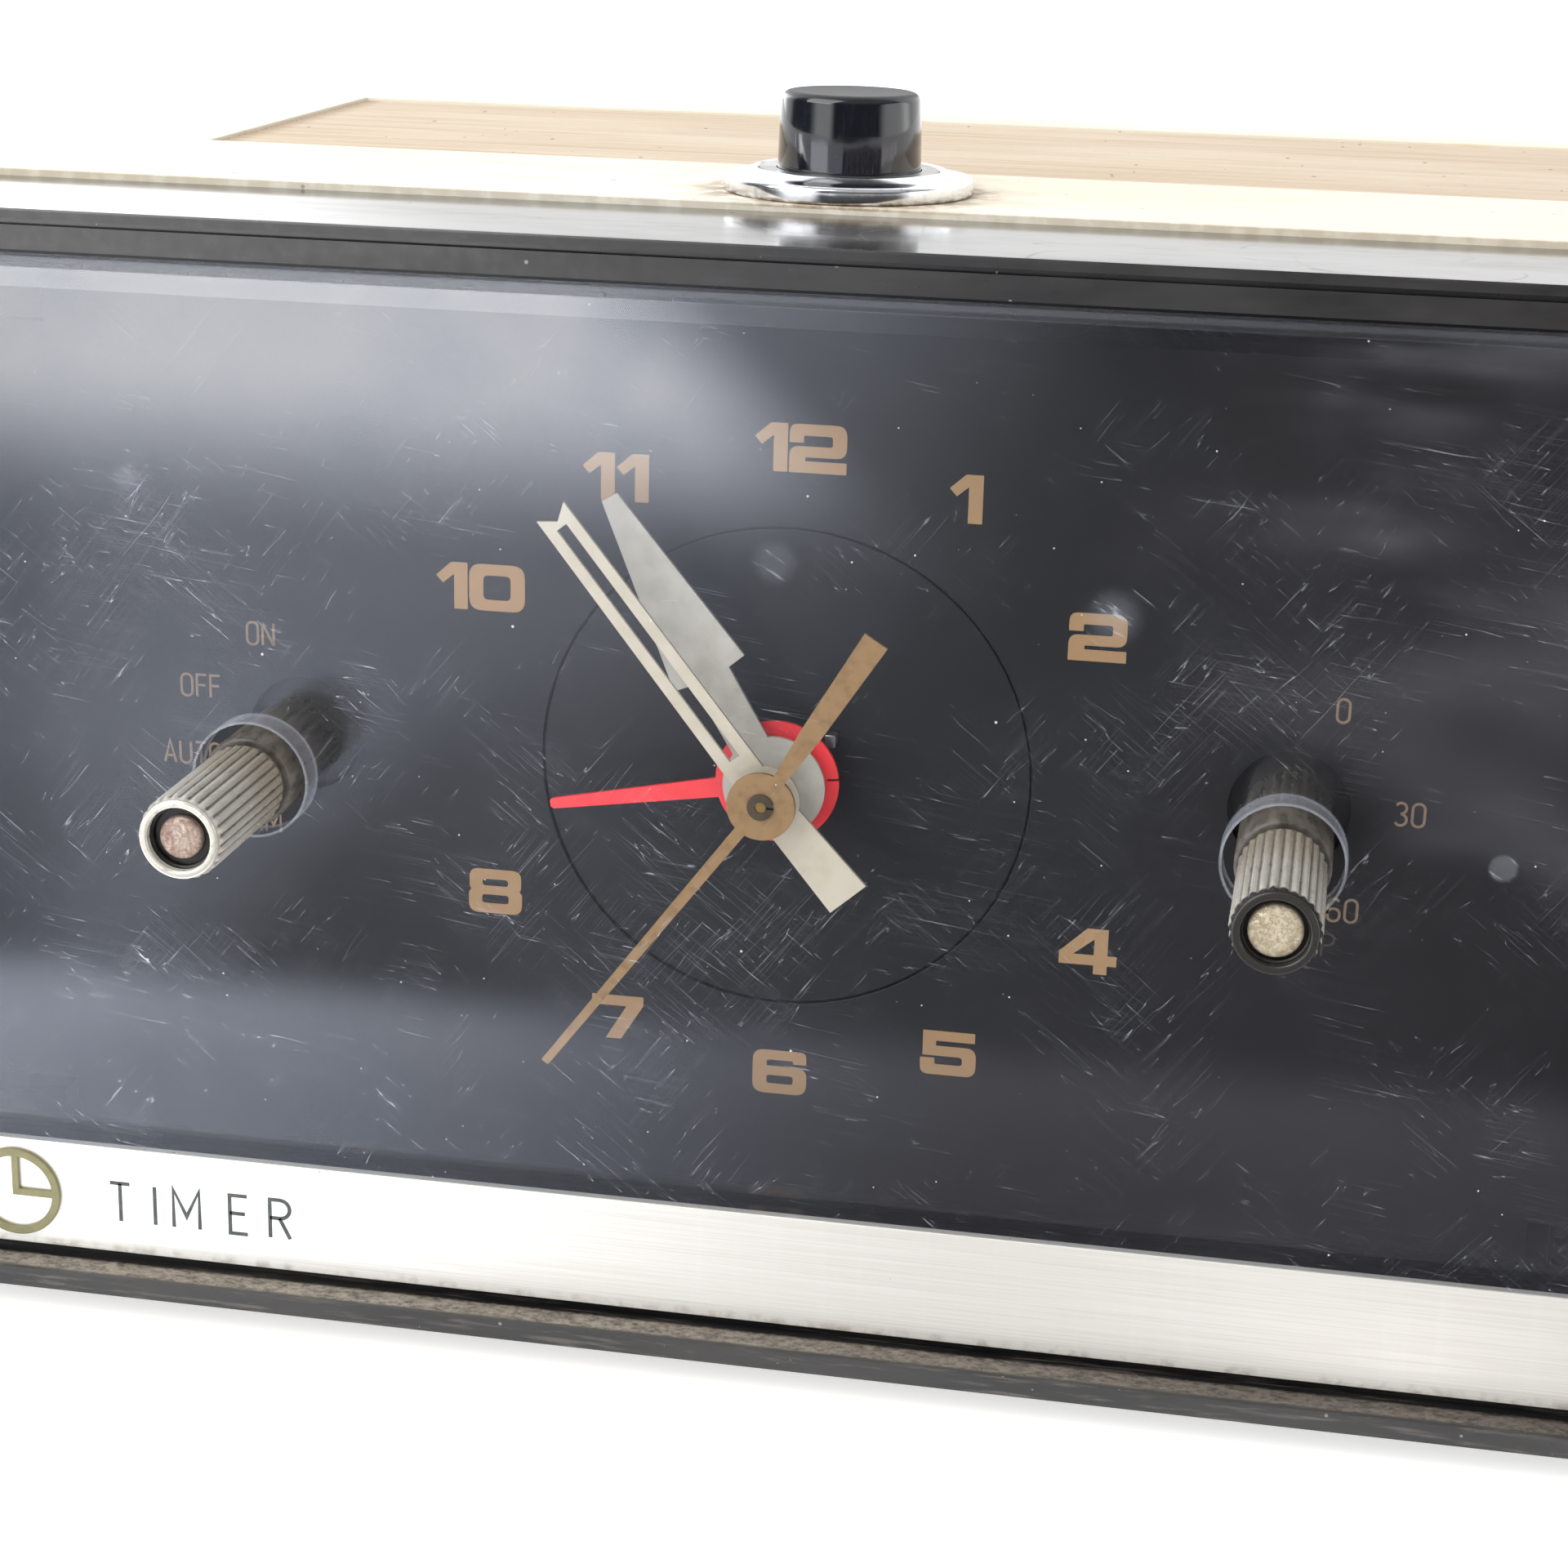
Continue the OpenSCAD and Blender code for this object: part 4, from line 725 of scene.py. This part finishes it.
def button_pieces():
    """Polished cap with a round edge, in a stepped chrome ring."""
    low, high = from_front("button_cap")
    r, top, foot = (high.x - low.x) / 2, high.z - half_h, low.z - half_h
    stem_r, bottom = 2.2, -2.0
    dish = [(0, top - 0.12), (0.55 * r, top - 0.1), (0.76 * r, top - 0.02)]
    edge = arc(r - 1.15, top - 0.85, 0.85, 90, 8, 8)
    cap = dish + edge + [(r - 0.12, top - 3.5), (r, 0.4), (r, bottom), (stem_r, bottom), (stem_r, foot), (0, foot)]
    bm = turned(cap, 128, (button_x, button_y, half_h), upright=True)
    add_piece("button_top", bm, "button", "button_black", ["button_cap"], sharp=50)
    inner, ring_top = r + 1.66, ring_high.z - half_h
    lip = arc(ring_r - 0.3, 0.32, 0.3, -90, 0, 4) + arc(ring_r - 0.5, 1.1, 0.5, 0, 75, 6)
    ring = [(inner, 0.02)] + lip + [(ring_r - 1.2, 1.68), (inner + 1.1, ring_top - 0.42)]
    ring += arc(inner + 0.42, ring_top - 0.4, 0.4, 60, 180, 6)
    bm = turned(ring, 128, (button_x, button_y, half_h), upright=True)
    add_piece("button_collar", bm, "case", "ring_chrome", ["button_ring"], sharp=50)


button_pieces()


# ---- figures and lettering ----

INK = 0.02  # thickness of the print
PRINT_GAP = 0.01  # from a surface to the print in front of it
CORNER_R = 0.06
CORNER_STEPS = 5
MITRE_LEAST = 0.4  # keeps sharp corners of a line from running out too far


def corner_round(points):
    """A closed outline whose points may carry a corner radius: (x, z) or (x, z, radius)."""
    made = []
    for i, point in enumerate(points):
        here = Vector(point[:2])
        radius = point[2] if len(point) > 2 else CORNER_R
        before = Vector(points[i - 1][:2]) - here
        after = Vector(points[(i + 1) % len(points)][:2]) - here
        reach = min(radius, before.length * 0.48, after.length * 0.48)
        a, b = here + before.normalized() * reach, here + after.normalized() * reach
        for k in range(CORNER_STEPS + 1):
            t = k / CORNER_STEPS
            made.append(a * (1 - t) ** 2 + here * (2 * t * (1 - t)) + b * t ** 2)
    return made


def raised(bm, flat, thickness):
    """Gives flat faces in the x-z plane a small thickness towards the front."""
    grown = bmesh.ops.extrude_face_region(bm, geom=flat)
    moved = [g for g in grown["geom"] if isinstance(g, bmesh.types.BMVert)]
    bmesh.ops.translate(bm, verts=moved, vec=(0, -thickness * MM, 0))


def filled(bm, loops, x, y, z):
    """Fills an outline and its holes."""
    edges = []
    for loop in loops:
        verts = [bm.verts.new(spot(x + p.x, y, z + p.y)) for p in corner_round(loop)]
        edges += [bm.edges.new((a, b)) for a, b in zip(verts, verts[1:] + verts[:1])]
    made = bmesh.ops.triangle_fill(bm, use_beauty=True, use_dissolve=False, edges=edges)
    raised(bm, [g for g in made["geom"] if isinstance(g, bmesh.types.BMFace)], INK)


FIGURES = {
    "1": (3.0, [[(3.0, 4.4), (1.45, 4.4), (0, 3.1), (0.66, 2.4), (1.72, 3.28), (1.72, 0), (3.0, 0)]]),
    "2": (5.2, [[(0, 2.72), (0, 4.4, 0.9), (5.2, 4.4, 1.0), (5.2, 1.42, 0.95), (1.45, 1.42, 0.1), (1.45, 1.06),
                 (5.2, 1.06), (5.2, 0), (0, 0), (0, 2.4, 0.9), (3.92, 2.4, 0.25), (3.92, 3.36, 0.3),
                 (1.3, 3.36, 0.15), (1.3, 2.72)]]),
    "4": (5.3, [[(2.5, 4.4), (4.45, 4.4), (4.45, 1.85), (5.3, 1.85), (5.3, 0.85), (4.45, 0.85), (4.45, 0),
                 (3.2, 0), (3.2, 0.85), (0, 0.85), (0, 2.0)],
                [(3.2, 3.4), (3.2, 1.85), (1.3, 1.85)]]),
    "5": (5.25, [[(0.2, 4.4), (5.1, 4.4), (5.1, 3.4), (1.45, 3.4), (1.45, 2.9), (5.25, 2.9, 1.0), (5.25, 0, 1.0),
                  (0, 0, 1.0), (0, 1.66), (1.35, 1.66), (1.35, 1.05, 0.2), (3.95, 1.05, 0.35), (3.95, 1.9, 0.35),
                  (0.2, 1.9)]]),
    "6": (5.2, [[(0, 0, 1.1), (5.2, 0, 1.1), (5.2, 2.8, 1.0), (1.35, 2.8), (1.35, 3.42, 0.25), (3.9, 3.42, 0.15),
                 (3.9, 3.12), (5.15, 3.12), (5.15, 4.4, 1.0), (0, 4.4, 1.1)],
                [(1.35, 1.0, 0.3), (3.9, 1.0, 0.3), (3.9, 1.85, 0.3), (1.35, 1.85, 0.3)]]),
    "7": (5.0, [[(0, 4.4), (5.0, 4.4), (5.0, 3.5), (2.85, 0), (1.35, 0), (3.35, 3.36), (0, 3.36)]]),
    "8": (5.2, [[(0, 0, 1.1), (5.2, 0, 1.1), (5.2, 2.05, 0.5), (4.92, 2.3, 0.2), (5.12, 2.6, 0.5), (5.12, 4.4, 1.1),
                 (0.08, 4.4, 1.1), (0.08, 2.6, 0.5), (0.28, 2.3, 0.2), (0, 2.05, 0.5)],
                [(1.35, 2.75, 0.3), (3.85, 2.75, 0.3), (3.85, 3.4, 0.3), (1.35, 3.4, 0.3)],
                [(1.3, 1.0, 0.3), (3.9, 1.0, 0.3), (3.9, 1.85, 0.3), (1.3, 1.85, 0.3)]]),
    "0": (5.3, [[(0, 0, 1.2), (5.3, 0, 1.2), (5.3, 4.4, 1.2), (0, 4.4, 1.2)],
                [(1.35, 1.05, 0.5), (3.95, 1.05, 0.5), (3.95, 3.35, 0.5), (1.35, 3.35, 0.5)]]),
}
FIGURE_H = 4.4
FIGURE_GAP = 0.15
HOURS = {
    "12": (0.8, 30.15), "1": (15.8, 26.5), "2": (28.1, 14.7), "4": (28.8, -15.0), "5": (16.3, -26.4),
    "6": (0.3, -29.9), "7": (-15.5, -25.8), "8": (-27.5, -14.2), "10": (-28.8, 15.4), "11": (-16.1, 26.5),
}


def dial_figures():
    """Bold squared figures of the hours, printed on the dial."""
    bm = bmesh.new()
    for word, (cx, cz) in HOURS.items():
        width = sum(FIGURES[c][0] for c in word) + FIGURE_GAP * (len(word) - 1)
        x = cx - width / 2
        for c in word:
            filled(bm, FIGURES[c][1], x, dial_y - PRINT_GAP, cz - FIGURE_H / 2)
            x += FIGURES[c][0] + FIGURE_GAP
    add_piece("dial_numerals", bm, "case", "bronze_print", finish=NUMERAL_INK)


def ribbon(bm, points, width, x, y, z, scale):
    """A flat line of even width through points, with mitred corners."""
    path = [Vector(p) for p in points]
    closed = (path[0] - path[-1]).length < 1e-6
    if closed:
        path = path[:-1]
    sides = []
    for i, here in enumerate(path):
        back = path[i - 1] if i or closed else None
        ahead = path[(i + 1) % len(path)] if i < len(path) - 1 or closed else None
        into = (here - back).normalized() if back is not None else (ahead - here).normalized()
        out = (ahead - here).normalized() if ahead is not None else into
        along = (into + out).normalized()
        across = Vector((-along.y, along.x))
        reach = width / 2 / max(MITRE_LEAST, across.dot(Vector((-into.y, into.x))))
        pair = (here * scale + across * reach, here * scale - across * reach)
        sides.append([bm.verts.new(spot(x + p.x, y, z + p.y)) for p in pair])
    if closed:
        sides.append(sides[0])
    faces = [bm.faces.new((a[0], a[1], b[1], b[0])) for a, b in zip(sides, sides[1:])]
    raised(bm, faces, INK)


def oval(w, h, r):
    """A closed path round a box with well rounded corners."""
    path = arc(w - r, h - r, r, 0, 90, 4) + arc(r, h - r, r, 90, 180, 4)
    path += arc(r, r, r, 180, 270, 4) + arc(w - r, r, r, 270, 360, 4)
    return path + path[:1]


# Narrow letters, 1 high: their advance and their strokes
LETTERS = {
    "O": (0.66, [oval(0.5, 1, 0.24)]),
    "0": (0.66, [oval(0.5, 1, 0.24)]),
    "N": (0.68, [[(0, 0), (0, 1)], [(0, 1), (0.5, 0)], [(0.5, 0), (0.5, 1)]]),
    "F": (0.58, [[(0, 0), (0, 1), (0.44, 1)], [(0, 0.53), (0.38, 0.53)]]),
    "A": (0.68, [[(0, 0), (0.26, 1), (0.52, 0)], [(0.1, 0.3), (0.42, 0.3)]]),
    "U": (0.66, [[(0, 1)] + arc(0.25, 0.25, 0.25, 180, 360, 8) + [(0.5, 1)]]),
    "T": (0.62, [[(0, 1), (0.5, 1)], [(0.25, 1), (0.25, 0)]]),
    "L": (0.56, [[(0, 1), (0, 0), (0.42, 0)]]),
    "R": (0.66, [[(0, 0), (0, 1)] + arc(0.26, 0.76, 0.24, 90, -90, 8) + [(0, 0.52)], [(0.24, 0.52), (0.5, 0)]]),
    "M": (0.82, [[(0, 0), (0, 1), (0.33, 0.3), (0.66, 1), (0.66, 0)]]),
    "S": (0.62, [arc(0.24, 0.76, 0.24, 30, 270, 10) + arc(0.24, 0.26, 0.25, 80, -150, 10)]),
    "E": (0.58, [[(0.44, 1), (0, 1), (0, 0), (0.44, 0)], [(0, 0.53), (0.38, 0.53)]]),
    "P": (0.62, [[(0, 0), (0, 1)] + arc(0.24, 0.74, 0.26, 90, -90, 8) + [(0, 0.48)]]),
    "I": (0.3, [[(0.05, 0), (0.05, 1)]]),
    "3": (0.66, [arc(0.24, 0.76, 0.23, 150, -80, 8) + arc(0.24, 0.26, 0.25, 80, -150, 8)]),
    "6": (0.66, [oval(0.5, 0.56, 0.24), arc(0.24, 0.76, 0.24, 30, 180, 6) + [(0, 0.3)]]),
}
LETTER_GAP = 0.16  # the part of an advance that is the space after a letter
LABEL_H = 2.15
LABEL_STROKE = 0.24
LABELS = {
    "ON": (-50.2, 9.4), "OFF": (-56.3, 3.9), "AUTO": (-57.3, -2.8), "ALARM": (-52.4, -9.0),
    "0": (50.1, 9.6), "30": (56.6, 0.5), "60": (51.4, -9.0),
}
FAINT_LABELS = {"SLEEP": (47.6, -12.4)}


def written(bm, word, cx, cz, y, height, stroke, spread=1.0):
    """A word of narrow letters, centred on a place."""
    width = sum(LETTERS[c][0] * spread for c in word[:-1]) + LETTERS[word[-1]][0] - LETTER_GAP
    x = cx - width * height / 2
    for c in word:
        for path in LETTERS[c][1]:
            ribbon(bm, path, stroke, x, y, cz - height / 2, height)
        x += LETTERS[c][0] * height * spread


def dial_labels(name, labels, ink):
    """Small narrow labels around the two knobs."""
    bm = bmesh.new()
    for word, (cx, cz) in labels.items():
        written(bm, word, cx, cz, dial_y - PRINT_GAP, LABEL_H, LABEL_STROKE, 1.08)
    add_piece(name, bm, "case", "bronze_print", finish=ink)


def trim_letters():
    """A plain word on the metal strip."""
    bm = bmesh.new()
    middle = (trim_low.z + trim_high.z) / 2
    written(bm, "TIMER", -52.2, middle - 0.15, trim_low.y - PRINT_GAP, 3.9, 0.36, 1.75)
    add_piece("trim_lettering", bm, "case", "bronze_print", finish=LETTER_INK)


dial_figures()
dial_labels("dial_labels", LABELS, LABEL_INK)
dial_labels("faint_labels", FAINT_LABELS, FAINT_INK)
trim_letters()


# ---- floor, light and camera ----

FLOOR_REACH = 6  # metres from the middle to each side
CARD_Z = -50  # height of the reflected card


def flat_sheet(name, bm, material):
    """A flat piece of the room around the object."""
    mesh = bpy.data.meshes.new(name)
    bm.to_mesh(mesh)
    bm.free()
    mesh.materials.append(material)
    sheet = bpy.data.objects.new(name, mesh)
    bpy.context.scene.collection.objects.link(sheet)
    return sheet


def floor():
    """Pale floor that carries the object."""
    bm = bmesh.new()
    bmesh.ops.create_grid(bm, x_segments=1, y_segments=1, size=FLOOR_REACH)
    bmesh.ops.translate(bm, verts=bm.verts, vec=(0, 0, floor_z))
    f = Finish("floor_white")
    tone = f.mix(rgb(246, 246, 246), rgb(240, 240, 241), f.noise(60, 3))
    white = f.show(f.shader({
        "Base Color": tone, "Roughness": 0.9, "Emission Color": (1, 1, 1, 1), "Emission Strength": 0.6}))
    flat_sheet("floor", bm, white)


def reflected_card():
    """Sheet of soft light low in front that only gloss can see: bright at the left, dim at the right."""
    bm = bmesh.new()
    corners = [(-3000, -4000), (3000, -4000), (3000, -2), (-3000, -2)]
    bm.faces.new([bm.verts.new(spot(x, y, CARD_Z)) for x, y in corners])
    f = Finish("reflected_card")
    left = f.smooth(f.x, 0, -120)
    bank = f.smooth(f.x - 0.376 * f.y, 100, 50) * f.smooth(f.y, -280, -470) * f.smooth(f.y, -780, -690)
    cloud = f.smooth(f.noise(70, 3, 0.5), 0.45, 0.7) * f.smooth(f.x, 0, 60)
    near = f.smooth(f.y, -76, -58) * (0.45 + 2.3 * f.smooth(f.x, 20, -90))
    glow = 0.06 + 1.25 * left * f.smooth(f.y, -90, -260) + 5.4 * bank + near + 1.1 * cloud
    glow = glow + 0.9 * f.smooth(f.x, -74, -104) * f.smooth(f.y, -240, -150)
    ahead = button_y - f.y
    bar = f.smooth(f.x + 0.5 * ahead, 130, -60) * f.smooth(f.x + 1.5 * ahead, -60, 200)
    bar = 2.2 * bar + 1.8 * f.smooth(f.x - 1.9 * ahead, -200, 60)
    glow = glow + bar * (1 - f.smooth(f.x * f.x + f.y * f.y, 620000, 500000))
    tint = f.mix((0.94, 0.97, 1.06, 1), (1.0, 0.93, 0.97, 1), f.smooth(f.x, -60, 40))
    tint = f.mix(tint, (1.0, 0.985, 0.96, 1), bank)
    light = f.show(f.node("ShaderNodeEmission", {}, {"Color": tint, "Strength": glow}))
    sheet = flat_sheet("reflected_card", bm, light)
    for way in ("visible_camera", "visible_diffuse", "visible_shadow", "visible_transmission"):
        setattr(sheet, way, False)


def soft_light(name, place, aim, size, radiance):
    """A square soft light: its middle and the point it faces in mm, its side in metres."""
    lamp = bpy.data.lights.new(name, "AREA")
    lamp.shape = "SQUARE"
    lamp.size = size
    lamp.energy = radiance * math.pi * size * size
    holder = bpy.data.objects.new(name, lamp)
    bpy.context.scene.collection.objects.link(holder)
    away = spot(*place) - spot(*aim)
    holder.matrix_world = Matrix.Translation(spot(*place)) @ away.to_track_quat("Z", "Y").to_matrix().to_4x4()


def room():
    """White room: brighter behind the object than in front of it where gloss mirrors it."""
    world = bpy.data.worlds.new("room")
    world.use_nodes = True
    bpy.context.scene.world = world
    n = Nodes(world.node_tree)
    background = world.node_tree.nodes["Background"]
    direction = n.parts(n.node("ShaderNodeTexCoord", {}, {}, "Generated"))
    mirrored = n.node("ShaderNodeLightPath", {}, {}, "Is Glossy Ray")
    level = n.smooth(direction[2], 0.5, 0.3)
    left_bar = n.smooth(direction[0], -0.26, -0.46) * n.smooth(direction[0], -0.9, -0.7)
    bars = (2.2 * left_bar + 1.8 * n.smooth(direction[0], 0.8, 0.95)) * level
    behind = 0.14 + bars + 1.15 * n.smooth(direction[1], 0.1, 0.4) + 0.35 * n.smooth(direction[2], 0.3, 0.7)
    strength = 1.0 + mirrored * (behind - 1.0)
    n.tree.links.new(strength.socket, background.inputs["Strength"])
    background.inputs["Color"].default_value = (1, 1, 1, 1)
    soft_light("soft_light_left", (-520, -420, 640), (-20, 30, 0), 0.8, 3.3)
    reflected_card()
    bpy.context.scene.view_settings.view_transform = "Standard"


CAMERA_AT = (48.68, -250.14, 84.85)
CAMERA_YAW, CAMERA_PITCH, CAMERA_ROLL = map(math.radians, (10.2545, 17.4935, -1.4367))
SENSOR = 36
LENS = 71.415


def camera():
    """Camera to the right of the dial and above it, looking a little down."""
    ahead = Vector((
        -math.sin(CAMERA_YAW) * math.cos(CAMERA_PITCH), math.cos(CAMERA_YAW) * math.cos(CAMERA_PITCH),
        -math.sin(CAMERA_PITCH)))
    level = Vector((math.cos(CAMERA_YAW), math.sin(CAMERA_YAW), 0))
    down = ahead.cross(level)
    right = level * math.cos(CAMERA_ROLL) + down * math.sin(CAMERA_ROLL)
    up = level * math.sin(CAMERA_ROLL) - down * math.cos(CAMERA_ROLL)
    data = bpy.data.cameras.new("camera")
    data.sensor_width, data.lens = SENSOR, LENS
    data.clip_start, data.clip_end = 0.01, 50
    holder = bpy.data.objects.new("camera", data)
    bpy.context.scene.collection.objects.link(holder)
    turn = Matrix((right, up, -ahead)).transposed().to_4x4()
    holder.matrix_world = Matrix.Translation(spot(*CAMERA_AT)) @ turn
    bpy.context.scene.camera = holder


floor()
room()
camera()
